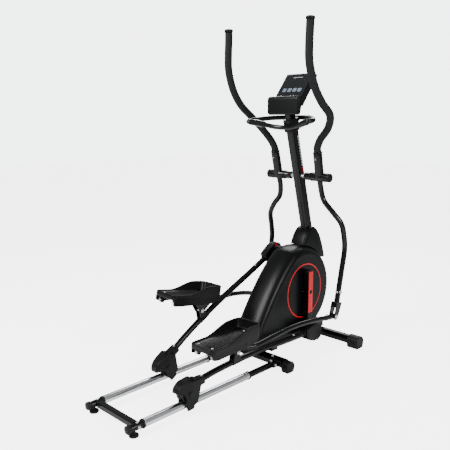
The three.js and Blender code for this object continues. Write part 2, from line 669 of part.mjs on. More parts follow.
// fork at the handle's lower end that straddles the link's eye
function clevis() {
  const shape = new THREE.Shape();
  shape.moveTo(526, 308);
  shape.lineTo(574, 298);
  shape.lineTo(LINK_PIN_X + 18, LINK_PIN_Z - 4);
  const from = THREE.MathUtils.degToRad(-20);
  const to = THREE.MathUtils.degToRad(-190);
  shape.absarc(LINK_PIN_X, LINK_PIN_Z, 17, from, to, true);
  shape.closePath();
  const whole = plate(shape, LINK_PIN_Y - 18, LINK_PIN_Y + 18, 0, 5);
  const slotHalf = 13.5;
  const slotTop = LINK_PIN_Z + 50;
  const slot = block(LINK_PIN_X - 60, LINK_PIN_X + 80, -slotHalf, slotHalf, 150, slotTop);
  slot.translate(0, LINK_PIN_Y, 0);
  const onPin = (radius, y, sides) => {
    return disc(radius, LINK_PIN_Y + y, LINK_PIN_Y + y + 4, LINK_PIN_X, LINK_PIN_Z, sides);
  };
  const heads = [-23, 19].map((y) => onPin(9, y, 6));
  const washers = [-20.5, 16.5].map((y) => onPin(12, y, 16));
  return join(cut(whole, slot), ...heads, ...washers);
}

function handleGrip() {
  const path = smooth([
    vec(COLLAR_TOP.x, COLLAR_TOP.y, COLLAR_TOP.z + 1), vec(481, HANDLE_Y + 2, 1106), vec(472, 161, 1148),
    vec(460, 214, 1208), vec(421, 249, 1267), vec(348, 252, 1322), vec(298, 250, 1376), vec(267, 248, 1429),
    vec(241, 245, 1508), vec(238, 243, 1570), vec(241, GRIP_Y, 1650), GRIP_TOP,
  ]);
  return bar(path, GRIP_RADIUS, 26);
}

function gripCap() {
  const profile = [[0, 0], [GRIP_RADIUS, 0], [22.5, 3], [22.5, 12], [18, 17], [9, 19], [0, 19.5]];
  return turned(profile).rotateX(Math.PI / 2).translate(GRIP_TOP.x, GRIP_TOP.y, GRIP_TOP.z + 1);
}

function hubCap() {
  const profile = [[0, 0], [23, 0], [23, 8], [20, 11], [0, 11]];
  return turned(profile, 24).translate(HANDLE_PIVOT_X, 194 + GAP, HANDLE_PIVOT_Z);
}

function handles() {
  const pieces = [
    ['handle_lower', handleLower(), PAINT],
    ['handle_grip', handleGrip(), FOAM],
    ['grip_cap', gripCap(), PLASTIC],
    ['hub_cap', hubCap(), PLASTIC],
  ];
  for (const [side, letter] of SIDES) {
    const swing = new THREE.Group();
    swing.position.set(HANDLE_PIVOT_X, 0, HANDLE_PIVOT_Z);
    swing.rotation.y = -side * HANDLE_AT_REST;
    machine.add(swing);
    for (const [name, geometry, material] of pieces) {
      const own = side === LEFT ? geometry.clone() : mirrored(geometry);
      add(`${name}_${letter}`, own.translate(-HANDLE_PIVOT_X, 0, -HANDLE_PIVOT_Z), material, swing);
    }
  }
}

// ---------------------------------------------------------------- pulse bar and console
const PULSE_Z = 1224;
const PULSE_RADIUS = 12.5;

// closed loop round the mast, with a hand grip at each outer end
function pulseBar() {
  const mastX = mastXAt(PULSE_Z);
  const half = [
    vec(mastX - 48, 0, PULSE_Z - 14), vec(mastX - 58, 66, PULSE_Z - 10), vec(mastX - 94, 146, PULSE_Z + 8),
    vec(mastX - 118, 194, PULSE_Z + 16), vec(mastX - 92, 200, PULSE_Z + 22),
    vec(mastX - 20, 140, PULSE_Z + 34), vec(mastX + 38, 62, PULSE_Z + 38),
  ];
  const front = vec(mastX + 44, 0, PULSE_Z + 38);
  const other = half.slice(1).reverse().map((p) => vec(p.x, -p.y, p.z));
  const loop = bar(smooth([...half, front, ...other], true), PULSE_RADIUS, 44, 8);
  const clamp = mastLength(PULSE_Z - 30, PULSE_Z + 31, 9);
  const rearTie = block(mastX - 50, mastX, -20, 20, PULSE_Z - 22, PULSE_Z - 6);
  const frontTie = block(mastX, mastX + 44, -20, 20, PULSE_Z + 18, PULSE_Z + 42);
  return cut(join(loop, clamp, rearTie, frontTie), mastLength(PULSE_Z - 60, MAST_TOP_Z + 20, GAP));
}

const PANEL_ANGLE = THREE.MathUtils.degToRad(51);
const PANEL_FOOT = { x: 408, z: 1352 };
const PANEL_LENGTH = 174;

// point on or under the display panel: distance up the slope, and depth below its face
function panelPoint(along, depth) {
  const x = PANEL_FOOT.x + along * Math.cos(PANEL_ANGLE) + depth * Math.sin(PANEL_ANGLE);
  const z = PANEL_FOOT.z + along * Math.sin(PANEL_ANGLE) - depth * Math.cos(PANEL_ANGLE);
  return [x, z];
}

// frame of the display panel: local x up the slope, local z out of the face
function panelGroup() {
  const group = new THREE.Group();
  group.position.set(PANEL_FOOT.x, 0, PANEL_FOOT.z);
  group.rotation.y = -PANEL_ANGLE;
  machine.add(group);
  return group;
}

function consoleUnit() {
  const half = CONSOLE_WIDTH / 2;
  const nose = outline([
    [374, 1274], [364, 1286], [364, 1354], [376, 1368], [394, 1368], [394, 1308], [386, 1274],
  ]);
  const wedge = outline([
    panelPoint(-4, 0), panelPoint(PANEL_LENGTH, 0), panelPoint(PANEL_LENGTH, 24), panelPoint(-20, 30),
  ]);
  const neck = mastLength(MAST_TOP_Z + GAP, 1340, -4);
  const body = join(plate(nose, -half, half, 8), plate(wedge, -half + 12, half - 12, 4), neck);
  const panelRoom = block(-7, PANEL_LENGTH - 6, -84, 84, -1 - GAP, 20);
  panelRoom.rotateY(-PANEL_ANGLE).translate(PANEL_FOOT.x, 0, PANEL_FOOT.z);
  add('console_housing', cut(body, panelRoom), PLASTIC);

  const group = panelGroup();
  const screen = block(12, PANEL_LENGTH - 7, -83, 83, -1, 3);
  const buttonX = 22;
  const pitch = 20;
  const places = Array.from({ length: BUTTON_COUNT }, (_, i) => (i - (BUTTON_COUNT - 1) / 2) * pitch);
  const well = (y) => block(buttonX - 5 - GAP, buttonX + 5 + GAP, y - 6 - GAP, y + 6 + GAP, -3, 8);
  const wells = places.map(well);
  add('console_panel', cut(screen, ...wells), SCREEN, group);
  places.forEach((y, i) => {
    add(`button_${i + 1}`, block(buttonX - 5, buttonX + 5, y - 6, y + 6, 1.8, 5), BUTTON, group);
  });
}

floorFrame();
mainFrame();
mast();
housing();
mastBoot();
drive();
cranks();
linkages();
handles();
add('pulse_bar', pulseBar(), PAINT);
consoleUnit();

export default machine;
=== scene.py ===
"""Looks of the front-drive elliptical trainer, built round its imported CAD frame.

Lengths in this script are millimetres in the CAD frame (+X front, +Y rider's left, +Z up);
the helper functions turn them into metres. Places come from the frame's joints and node boxes.
"""

import json
import math

import bmesh
import bpy
from mathutils import Matrix, Vector


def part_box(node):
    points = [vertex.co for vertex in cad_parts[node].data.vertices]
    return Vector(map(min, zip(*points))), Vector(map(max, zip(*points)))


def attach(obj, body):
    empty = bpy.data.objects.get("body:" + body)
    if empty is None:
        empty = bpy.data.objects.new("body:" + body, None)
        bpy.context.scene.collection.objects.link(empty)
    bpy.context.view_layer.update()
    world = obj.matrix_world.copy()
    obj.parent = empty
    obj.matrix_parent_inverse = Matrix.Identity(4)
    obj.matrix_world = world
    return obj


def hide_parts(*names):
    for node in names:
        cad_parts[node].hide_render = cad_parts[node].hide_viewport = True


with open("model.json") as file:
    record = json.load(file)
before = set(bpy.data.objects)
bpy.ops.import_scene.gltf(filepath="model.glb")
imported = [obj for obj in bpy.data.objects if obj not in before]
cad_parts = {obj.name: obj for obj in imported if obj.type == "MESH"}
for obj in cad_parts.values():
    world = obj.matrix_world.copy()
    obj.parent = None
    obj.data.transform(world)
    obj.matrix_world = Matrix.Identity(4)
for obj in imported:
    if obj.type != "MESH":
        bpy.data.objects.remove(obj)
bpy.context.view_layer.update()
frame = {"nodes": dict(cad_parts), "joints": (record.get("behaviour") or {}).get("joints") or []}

MM = 0.001
SHARP = math.radians(40)
SIDES = ((1, "L"), (-1, "R"))


# ---- places from the frame
def joint_at(name):
    joint = next(j for j in frame["joints"] if j["name"] == name)
    return Vector(joint["pos_m"]) / MM


def node_box(name):
    low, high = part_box(name)
    return Vector(low) / MM, Vector(high) / MM


CRANK = joint_at("crank_turn")
PIVOT = joint_at("handle_swing_L")
RAIL_Y = joint_at("foot_bar_tilt_L").y
RAIL_Z = (node_box("rail_tube_L")[0].z + node_box("rail_tube_L")[1].z) / 2
RAIL_RADIUS = node_box("rail_tube_L")[1].z - RAIL_Z
CRANK_RADIUS = node_box("crank_arm_L")[1].z - CRANK.z - 20
HALF_WIDTH = node_box("housing_shell_L")[1].y
LINK_EYE_RADIUS = 14
LINK_RADIUS = 12.5
CLEVIS_RADIUS = 17
COLLAR_RADIUS = 23.5
GRIP_RADIUS = 19.5
LINK_PIN_Y = 256
LINK_PIN_FORWARD = 10                  # of the handle pivot, handle in its middle position
LINK_PIN_BELOW = PIVOT.z - 230
MAST_SLOPE = 0.27
MAST_LEAN = math.atan(MAST_SLOPE)


def mast_x(z):
    return PIVOT.x + 3 - (z - PIVOT.z) * MAST_SLOPE


class Place:
    """A local frame: Y is mirrored on the right side, and slope tilts +X upwards about Y."""

    def __init__(self, x=0.0, y=0.0, z=0.0, slope=0.0, side=1):
        self.origin = (x, y, z)
        self.cos = math.cos(slope)
        self.sin = math.sin(slope)
        self.side = side

    def __call__(self, point):
        x, y, z = point
        ox, oy, oz = self.origin
        across = self.side * (oy + y)
        return Vector((ox + x * self.cos - z * self.sin, across, oz + x * self.sin + z * self.cos)) * MM


WORLD = Place()


def foot_bar_place(side, letter):
    axle = joint_at(f"foot_bar_tilt_{letter}")
    rise = CRANK.z + side * CRANK_RADIUS - axle.z
    return Place(axle.x, RAIL_Y, axle.z, math.atan2(rise, CRANK.x - axle.x), side)


def foot_bar_length():
    axle = joint_at("foot_bar_tilt_L")
    return math.hypot(CRANK.x - axle.x, CRANK.z + CRANK_RADIUS - axle.z)


def link_pin(letter):
    x = node_box(f"link_arm_{letter}")[1].x - LINK_EYE_RADIUS
    z = node_box(f"handle_lower_{letter}")[0].z + CLEVIS_RADIUS
    return x, z


def link_place(side, letter):
    pivot = joint_at(f"pedal_tilt_{letter}")
    x, z = link_pin(letter)
    return Place(pivot.x, RAIL_Y, pivot.z, math.atan2(z - pivot.z, x - pivot.x), side)


def link_length(letter):
    pivot = joint_at(f"pedal_tilt_{letter}")
    x, z = link_pin(letter)
    return math.hypot(z - pivot.z, x - pivot.x)


def handle_place(side, letter):
    x, z = link_pin(letter)
    middle = math.atan2(LINK_PIN_FORWARD, LINK_PIN_BELOW)
    turn = middle - math.atan2(x - PIVOT.x, PIVOT.z - z)
    return Place(PIVOT.x, 0, PIVOT.z, -turn, side)


# ---- mesh helpers
def make(name, place, points, faces):
    mesh = bpy.data.meshes.new(name)
    mesh.from_pydata([place(p) for p in points], [], faces)
    work = bmesh.new()
    work.from_mesh(mesh)
    bmesh.ops.recalc_face_normals(work, faces=work.faces)
    work.to_mesh(mesh)
    work.free()
    mesh.shade_smooth()
    mesh.set_sharp_from_angle(angle=SHARP)
    piece = bpy.data.objects.new(name, mesh)
    bpy.context.scene.collection.objects.link(piece)
    return piece


def loft(name, place, rings, closed=False):
    """Skin over rings that all have the same number of points; the two ends are filled."""
    count = len(rings[0])
    points = [p for ring in rings for p in ring]
    faces = []
    spans = len(rings) if closed else len(rings) - 1
    for r in range(spans):
        a = r * count
        b = (r + 1) % len(rings) * count
        faces += [(a + i, a + (i + 1) % count, b + (i + 1) % count, b + i) for i in range(count)]
    if not closed:
        faces.append(tuple(range(count)))
        faces.append(tuple(range((len(rings) - 1) * count, len(rings) * count)))
    return make(name, place, points, faces)


def prism(name, place, outline, y0, y1):
    """Outline of (x, z) points, from y0 to y1."""
    return loft(name, place, [[(x, y, z) for x, z in outline] for y in (y0, y1)])


def cushion(name, place, outline, half, radius, steps=8):
    """Outline of (x, z) points from -half to half, drawn in towards its middle at both rounded ends."""
    xs = [x for x, z in outline]
    zs = [z for x, z in outline]
    middle = ((min(xs) + max(xs)) / 2, (min(zs) + max(zs)) / 2)
    size = ((max(xs) - min(xs)) / 2, (max(zs) - min(zs)) / 2)
    rings = []
    for i in range(steps + 1):
        angle = math.radians(90 * i / steps)
        inset = radius * (1 - math.sin(angle))
        shrink = (1 - inset / size[0] * 0.8, 1 - inset / size[1])
        y = radius * (1 - math.cos(angle)) - half
        ring = []
        for x, z in outline:
            along = middle[0] + (x - middle[0]) * shrink[0]
            above = middle[1] + (z - middle[1]) * shrink[1]
            ring.append((along, y, above))
        rings.append(ring)
    rings += [[(x, -y, z) for x, y, z in ring] for ring in reversed(rings)]
    return loft(name, place, rings)


def slab(name, place, low, high):
    (x0, y0, z0), (x1, y1, z1) = low, high
    return prism(name, place, [(x0, z0), (x1, z0), (x1, z1), (x0, z1)], y0, y1)


def lathe(name, place, profile, at=(0, 0, 0), axis="y", sides=48):
    """Profile of (radius, height) pairs turned about an axis; a profile off the axis is a closed ring."""
    turn = {
        "x": lambda r, h, c, s: (h, r * c, r * s),
        "y": lambda r, h, c, s: (r * c, h, r * s),
        "z": lambda r, h, c, s: (r * c, r * s, h),
    }[axis]
    rings = []
    for radius, height in profile:
        ring = []
        for i in range(sides):
            angle = 2 * math.pi * i / sides
            x, y, z = turn(max(radius, 0.02), height, math.cos(angle), math.sin(angle))
            ring.append((at[0] + x, at[1] + y, at[2] + z))
        rings.append(ring)
    return loft(name, place, rings, closed=profile[0][0] > 0)


def route(points, closed=False, steps=12):
    """Smooth line through the points: a centripetal Catmull-Rom spline."""
    line = [Vector(p) for p in points]
    if closed:
        line = [line[-1]] + line + line[:2]
    else:
        line = [2 * line[0] - line[1]] + line + [2 * line[-1] - line[-2]]
    smooth = []
    for p0, p1, p2, p3 in zip(line, line[1:], line[2:], line[3:]):
        t1 = (p1 - p0).length ** 0.5
        t2 = t1 + (p2 - p1).length ** 0.5
        t3 = t2 + (p3 - p2).length ** 0.5
        for k in range(steps):
            t = t1 + (t2 - t1) * k / steps
            a1 = p0.lerp(p1, t / t1)
            a2 = p1.lerp(p2, (t - t1) / (t2 - t1))
            a3 = p2.lerp(p3, (t - t2) / (t3 - t2))
            b1 = a1.lerp(a2, t / t2)
            b2 = a2.lerp(a3, (t - t1) / (t3 - t1))
            smooth.append(b1.lerp(b2, (t - t1) / (t2 - t1)))
    if not closed:
        smooth.append(line[-2])
    return smooth


def sweep(name, place, line, radius, sides=32, closed=False, lip=1.5, flat=1.0):
    """Round bar along a line with softened ends. flat squeezes the section's height."""
    count = len(line)
    tangents = []
    for i in range(count):
        before = line[(i - 1) % count] if closed or i else line[0]
        after = line[(i + 1) % count] if closed or i < count - 1 else line[-1]
        tangents.append((after - before).normalized())
    up = Vector((0, 0, 1)) if abs(tangents[0].z) < 0.9 else Vector((1, 0, 0))
    rings = []
    for point, tangent in zip(line, tangents):
        across = tangent.cross(up).normalized()
        up = across.cross(tangent).normalized()
        rings.append((point, across, up, tangent))

    def circle(point, across, up, scale):
        ring = []
        for i in range(sides):
            angle = 2 * math.pi * i / sides
            offset = across * math.cos(angle) + up * math.sin(angle) * flat
            ring.append(tuple(point + offset * scale))
        return ring

    skin = [circle(p, a, u, radius) for p, a, u, _ in rings]
    if not closed and lip:
        first, last = rings[0], rings[-1]
        skin[0] = circle(first[0] + first[3] * lip, first[1], first[2], radius)
        skin[-1] = circle(last[0] - last[3] * lip, last[1], last[2], radius)
        for share in (0.35, 1.0):
            inset = radius - lip * share ** 2
            back = lip * (1 - share)
            skin.insert(0, circle(first[0] + first[3] * back, first[1], first[2], inset))
            skin.append(circle(last[0] - last[3] * back, last[1], last[2], inset))
    return loft(name, place, skin, closed)


def straight(start, end, steps=6):
    return [Vector(start).lerp(Vector(end), i / steps) for i in range(steps + 1)]


def arc(cx, cz, radius, start, end, steps=24):
    angles = [math.radians(start + (end - start) * i / steps) for i in range(steps + 1)]
    return [(cx + radius * math.cos(a), cz + radius * math.sin(a)) for a in angles]


def bend(start, control, end, steps=16):
    """Points of a quadratic curve, without the first one."""
    points = []
    for i in range(1, steps + 1):
        t = i / steps
        weights = ((1 - t) ** 2, 2 * t * (1 - t), t * t)
        corners = (start, control, end)
        points.append(tuple(sum(w * c[k] for w, c in zip(weights, corners)) for k in (0, 1)))
    return points


def round_box(width, height, radius, steps=8):
    """Outline of a rectangle with round corners, about the origin."""
    w, h = width / 2 - radius, height / 2 - radius
    corners = ((w, h, 0), (-w, h, 90), (-w, -h, 180), (w, -h, 270))
    return [p for x, z, start in corners for p in arc(x, z, radius, start, start + 90, steps)]


def applied(piece):
    """Turns the piece's modifiers into its mesh."""
    graph = bpy.context.evaluated_depsgraph_get()
    graph.update()
    final = bpy.data.meshes.new_from_object(piece.evaluated_get(graph))
    piece.modifiers.clear()
    piece.data = final
    return piece


def combine(piece, operation, tools):
    for tool in tools:
        step = piece.modifiers.new(operation.lower(), "BOOLEAN")
        step.operation = operation
        step.solver = "EXACT"
        step.object = tool
    applied(piece)
    piece.data.set_sharp_from_angle(angle=SHARP)
    for tool in tools:
        bpy.data.objects.remove(tool)
    return piece


def cut(piece, *tools):
    return combine(piece, "DIFFERENCE", tools)


def merge(piece, *others):
    """One object out of several, each still closed."""
    work = bmesh.new()
    for part in (piece, *others):
        work.from_mesh(part.data)
    work.to_mesh(piece.data)
    work.free()
    for other in others:
        bpy.data.objects.remove(other)
    return piece


def moulded(piece, voxel=1.6, rounds=3):
    """Rounds every edge the way a moulded or cast piece is rounded."""
    remesh = piece.modifiers.new("voxels", "REMESH")
    remesh.mode = "VOXEL"
    remesh.voxel_size = voxel * MM
    soften = piece.modifiers.new("soften", "SMOOTH")
    soften.factor = 0.5
    soften.iterations = rounds
    applied(piece)
    piece.data.shade_smooth()
    return piece


def eased(piece, width=1.5, segments=3, angle=32):
    """Small round edges."""
    edge = piece.modifiers.new("edges", "BEVEL")
    edge.width = width * MM
    edge.segments = segments
    edge.limit_method = "ANGLE"
    edge.angle_limit = math.radians(angle)
    edge.harden_normals = True
    piece.data.shade_smooth()
    return piece


def dress(piece, body, material, slot, *replaced):
    piece.data.materials.clear()
    piece.data.materials.append(material)
    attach(piece, body)
    if replaced:
        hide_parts(*replaced)
    return piece


# ---- materials
def nodes_of(name):
    material = bpy.data.materials.new(name)
    material.use_nodes = True
    tree = material.node_tree
    return material, tree, tree.nodes["Principled BSDF"]


def set_inputs(node, **values):
    """Sets input sockets; an underscore in a name stands for a space."""
    for name, value in values.items():
        node.inputs[name.replace("_", " ")].default_value = value


def noise(tree, scale, detail=4.0, stretch=(1, 1, 1)):
    where = tree.nodes.new("ShaderNodeTexCoord")
    mapping = tree.nodes.new("ShaderNodeMapping")
    texture = tree.nodes.new("ShaderNodeTexNoise")
    set_inputs(mapping, Scale=stretch)
    set_inputs(texture, Scale=scale, Detail=detail)
    tree.links.new(where.outputs["Object"], mapping.inputs["Vector"])
    tree.links.new(mapping.outputs["Vector"], texture.inputs["Vector"])
    return texture


def ranged(tree, source, low, high):
    spread = tree.nodes.new("ShaderNodeMapRange")
    set_inputs(spread, From_Min=0.3, From_Max=0.7, To_Min=low, To_Max=high)
    tree.links.new(source, spread.inputs["Value"])
    return spread.outputs["Result"]


def tinted(tree, source, dark, light):
    mix = tree.nodes.new("ShaderNodeMix")
    mix.data_type = "RGBA"
    set_inputs(mix, A=(*dark, 1), B=(*light, 1))
    tree.links.new(source, mix.inputs["Factor"])
    return mix.outputs["Result"]


def bumped(tree, source, shader, strength, distance):
    bump = tree.nodes.new("ShaderNodeBump")
    set_inputs(bump, Strength=strength, Distance=distance)
    tree.links.new(source, bump.inputs["Height"])
    tree.links.new(bump.outputs["Normal"], shader.inputs["Normal"])


def coated(name, dark, light, rough, grain, bump, metallic=0.0, coat=0.0, specular=0.5, stretch=(1, 1, 1)):
    """A surface whose colour and roughness drift a little, over a fine grain."""
    material, tree, shader = nodes_of(name)
    drift = noise(tree, 14, 3).outputs["Fac"]
    fine = noise(tree, grain, 5, stretch).outputs["Fac"]
    tree.links.new(tinted(tree, drift, dark, light), shader.inputs["Base Color"])
    tree.links.new(ranged(tree, fine, rough[0], rough[1]), shader.inputs["Roughness"])
    set_inputs(shader, Metallic=metallic, Coat_Weight=coat, Coat_Roughness=0.12)
    set_inputs(shader, Specular_IOR_Level=specular)
    bumped(tree, fine, shader, bump, 0.0004)
    return material


def foam():
    material, tree, shader = nodes_of("grip_foam")
    cells = tree.nodes.new("ShaderNodeTexVoronoi")
    set_inputs(cells, Scale=700)
    where = tree.nodes.new("ShaderNodeTexCoord")
    tree.links.new(where.outputs["Object"], cells.inputs["Vector"])
    drift = noise(tree, 22, 4).outputs["Fac"]
    colour = tinted(tree, drift, (0.0035, 0.0037, 0.0042), (0.008, 0.0084, 0.0092))
    tree.links.new(colour, shader.inputs["Base Color"])
    rough = ranged(tree, noise(tree, 300, 4).outputs["Fac"], 0.62, 0.8)
    tree.links.new(rough, shader.inputs["Roughness"])
    set_inputs(shader, Specular_IOR_Level=0.3, Sheen_Weight=0.03)
    bumped(tree, cells.outputs["Distance"], shader, 0.14, 0.0005)
    return material


PAINT = coated("gloss_black_paint", (0.0016, 0.0016, 0.002), (0.003, 0.003, 0.0036),
               rough=(0.16, 0.26), grain=420, bump=0.03, coat=0.12, specular=0.3)
PLASTIC = coated("satin_black_plastic", (0.0022, 0.0022, 0.0025), (0.0045, 0.0045, 0.005),
                 rough=(0.3, 0.42), grain=1500, bump=0.1, specular=0.24)
HOUSING = coated("housing_plastic", (0.0014, 0.0015, 0.0018), (0.0026, 0.0027, 0.0031),
                 rough=(0.3, 0.36), grain=1800, bump=0.04, specular=0.2)
CAPS = coated("cap_plastic", (0.003, 0.003, 0.0034), (0.006, 0.006, 0.0065),
              rough=(0.38, 0.52), grain=1200, bump=0.3, specular=0.26)
RUBBER = coated("black_rubber", (0.01, 0.01, 0.01), (0.018, 0.018, 0.018),
                rough=(0.6, 0.8), grain=900, bump=0.4, specular=0.3)
CHROME = coated("bright_chrome", (0.86, 0.87, 0.88), (0.95, 0.96, 0.97),
                rough=(0.14, 0.26), grain=160, bump=0.06, metallic=1.0, stretch=(0.03, 1, 1))
STEEL = coated("plain_steel", (0.5, 0.5, 0.5), (0.66, 0.66, 0.65),
               rough=(0.22, 0.4), grain=500, bump=0.15, metallic=1.0)
IRON = coated("cast_iron", (0.05, 0.05, 0.052), (0.09, 0.09, 0.092),
              rough=(0.5, 0.7), grain=380, bump=0.6, metallic=0.7)
RED = coated("red_accent", (0.8, 0.004, 0.01), (0.92, 0.008, 0.014),
             rough=(0.32, 0.42), grain=1100, bump=0.1)
WHITE = coated("white_mark", (0.6, 0.6, 0.6), (0.72, 0.72, 0.72),
               rough=(0.4, 0.5), grain=900, bump=0.1)
BLUE = coated("display_blue", (0.3, 0.4, 0.5), (0.42, 0.53, 0.62),
              rough=(0.3, 0.4), grain=900, bump=0.05)
BOLT = coated("bolt_cap", (0.7, 0.7, 0.7), (0.82, 0.82, 0.81),
              rough=(0.2, 0.3), grain=700, bump=0.1, metallic=0.6)
SCREEN = coated("display_glass", (0.003, 0.004, 0.006), (0.006, 0.007, 0.010),
                rough=(0.1, 0.16), grain=300, bump=0.02, coat=0.4)
WINDOW = coated("display_window", (0.004, 0.006, 0.005), (0.008, 0.01, 0.008),
                rough=(0.12, 0.2), grain=300, bump=0.02, coat=0.3)
FOAM = foam()


# ---- small repeated pieces
def bolt(name, place, at, axis, radius, height, body, direction=1, material=None):
    """Domed bolt head with a socket, standing on a washer."""
    d = direction
    profile = [
        (0, 0), (radius * 1.25, 0), (radius * 1.25, d * 1.2), (radius, d * 1.2),
        (radius, d * height * 0.55), (radius * 0.85, d * height * 0.88), (radius * 0.5, d * height),
        (radius * 0.46, d * height), (radius * 0.44, d * height * 0.45), (0, d * height * 0.45),
    ]
    piece = lathe(name, place, profile, at, axis, 32)
    return dress(piece, body, material or BOLT, "steel")


def rod(name, place, radius, y0, y1, at=(0, 0, 0), sides=48):
    """Plain round bar across the machine, from y0 to y1."""
    return lathe(name, place, [(0, y0), (radius, y0), (radius, y1), (0, y1)], at, sides=sides)


def tube(name, place, bore, radius, y0, y1, at=(0, 0, 0)):
    """Round eye across the machine, with a bore."""
    return lathe(name, place, [(bore, y0), (radius, y0), (radius, y1), (bore, y1)], at)


# ---- floor frame
def rails(side, letter):
    place = Place(side=side)
    low, high = node_box(f"rail_tube_{letter}")
    line = straight((low.x, RAIL_Y, RAIL_Z), (high.x, RAIL_Y, RAIL_Z))
    rail = sweep(f"rail_{letter}", place, line, RAIL_RADIUS)
    dress(rail, "frame", PAINT, "paint", f"rail_tube_{letter}")

    s_low, s_high = node_box(f"rail_sleeve_{letter}")
    outer = s_high.z - RAIL_Z
    opening = 55
    section = arc(0, 0, outer, -90 + opening, 270 - opening, 48)
    section += arc(0, 0, RAIL_RADIUS + 0.3, 270 - opening, -90 + opening, 48)
    rings = [[(x, RAIL_Y + y, RAIL_Z + z) for y, z in section] for x in (s_low.x, s_high.x)]
    sleeve = loft(f"bright_sleeve_{letter}", place, rings)
    dress(eased(sleeve, 0.8, 2), "frame", CHROME, "chrome", f"rail_sleeve_{letter}")
    for end, x, step in (("rear", s_low.x, -1), ("front", s_high.x, 1)):
        ring = [(outer - 0.4, 0), (outer + 1.2, 0), (outer + 1.2, step * 7), (outer, step * 8.5),
                (RAIL_RADIUS + 0.2, step * 8.5), (RAIL_RADIUS + 0.2, 0)]
        collar = lathe(f"sleeve_collar_{end}_{letter}", place, ring, (x + step * 0.4, RAIL_Y, RAIL_Z), "x")
        dress(collar, "frame", CAPS, "cap_plastic")

    c_low, c_high = node_box(f"rear_end_cap_{letter}")
    radius = c_high.z - RAIL_Z
    length = c_high.x - c_low.x
    profile = [(0, 0), (radius * 0.72, 0), (radius * 0.78, 0.8), (radius - 3, 0.8), (radius - 1, 1.8),
               (radius, 4), (radius, length - 1), (radius - 1, length), (0, length)]
    cap = lathe(f"rail_end_cap_{letter}", place, profile, (c_low.x, RAIL_Y, RAIL_Z), "x")
    dress(cap, "frame", CAPS, "cap_plastic", f"rear_end_cap_{letter}")

    f_low, f_high = node_box(f"levelling_foot_{letter}")
    middle = (f_low.x + f_high.x) / 2
    pad = (f_high.x - f_low.x) / 2
    profile = [(0, 0), (pad - 2.5, 0), (pad - 0.6, 1), (pad, 3), (pad, 8), (pad - 1.5, 10), (pad - 5, 12),
               (10, 12.4), (9.5, 14)]
    threads = [(6.6 if k % 2 else 7.2, 14 + k * 0.9) for k in range(9)]
    profile += [*threads, (6.6, f_high.z), (0, f_high.z)]
    foot = lathe(f"foot_pad_{letter}", place, profile, (middle, RAIL_Y, 0), "z")
    dress(foot, f"levelling_foot_{letter}", RUBBER, "rubber", f"levelling_foot_{letter}")
    x, skin = middle + 17, RAIL_RADIUS - 0.5
    bolt(f"rail_end_bolt_{letter}", place, (x, RAIL_Y + skin, RAIL_Z), "y", 5, 4, "frame")
    bolt(f"rail_inner_bolt_{letter}", place, (x, RAIL_Y, RAIL_Z + skin), "z", 5, 3, "frame")


def cross_bars():
    low, high = node_box("rear_crossbar")
    section = round_box(high.x - low.x, high.z - low.z, 5)
    outline = [(x + (low.x + high.x) / 2, z + RAIL_Z) for x, z in section]
    bar = prism("rear_cross_tube", WORLD, outline, low.y, high.y)
    dress(bar, "frame", PAINT, "paint", "rear_crossbar")

    for name, node, radius in (("middle_bar", "mid_stabilizer", 12), ("front_bar", "front_stabilizer", 24)):
        low, high = node_box(node)
        size = (high.x - low.x, high.z - low.z)
        middle = ((high.x + low.x) / 2, (high.z + low.z) / 2)
        outline = [(x + middle[0], z + middle[1]) for x, z in round_box(*size, radius, 12)]
        dress(prism(name, WORLD, outline, low.y, high.y), "frame", PAINT, "paint", node)

    for side, letter in SIDES:
        place = Place(side=side)
        floor_cap(place, "middle", f"mid_cap_{letter}", letter)
        floor_cap(place, "front", f"front_cap_{letter}", letter)


def floor_cap(place, where, node, letter):
    """Moulded end cap: flat where it stands on the floor, domed on top, with a rounded end."""
    low, high = node_box(node)
    half = (high.x - low.x) / 2
    middle = (high.x + low.x) / 2
    inner, outer = sorted((abs(low.y), abs(high.y)))
    top = high.z
    outline = [(-half * 0.75, 0), (half * 0.75, 0), (half, top * 0.4)]
    outline += arc(0, top - half, half, 0, 180, 28)[1:-1]
    outline += [(-half, top * 0.4)]
    cap = prism(f"{where}_foot_cap_{letter}", place, [(x + middle, z) for x, z in outline], inner, outer)
    dress(eased(cap, 4, 5, 50), "frame", CAPS, "cap_plastic", node)
    groove = prism(f"{where}_foot_rim_{letter}", place,
                   [(x * 1.012 + middle, max(z, 0.6) * 1.004) for x, z in outline], inner + 5, inner + 9)
    dress(eased(groove, 1, 2, 50), "frame", RUBBER, "rubber")


def rail_brackets(side, letter):
    """Bracket that bolts the front end of a rail to the middle floor bar."""
    place = Place(side=side)
    end = node_box(f"rail_tube_{letter}")[1].x
    low = (end - 34, RAIL_Y - 21, RAIL_Z - 12)
    high = (end - 0.5, RAIL_Y + 21, RAIL_Z + 15)
    block = slab(f"rail_bracket_{letter}", place, low, high)
    dress(eased(block, 4, 4), "frame", PAINT, "paint")
    bolt(f"bracket_side_bolt_{letter}", place, (end - 20, RAIL_Y + 21, RAIL_Z + 1), "y", 6, 6, "frame")
    bolt(f"bracket_top_bolt_{letter}", place, (end - 20, RAIL_Y - 8, RAIL_Z + 15), "z", 5.5, 5, "frame")
    bolt(f"middle_bar_bolt_{letter}", place, (end + 30, RAIL_Y - 40, RAIL_Z + 18), "z", 6, 5, "frame")


# ---- housing
HOUSING_RADIUS = node_box("housing_shell_L")[1].x - CRANK.x
HOUSING_BOTTOM = node_box("housing_shell_L")[0].z
HOUSING_REAR = node_box("housing_shell_L")[0].x
ROUNDING = 46


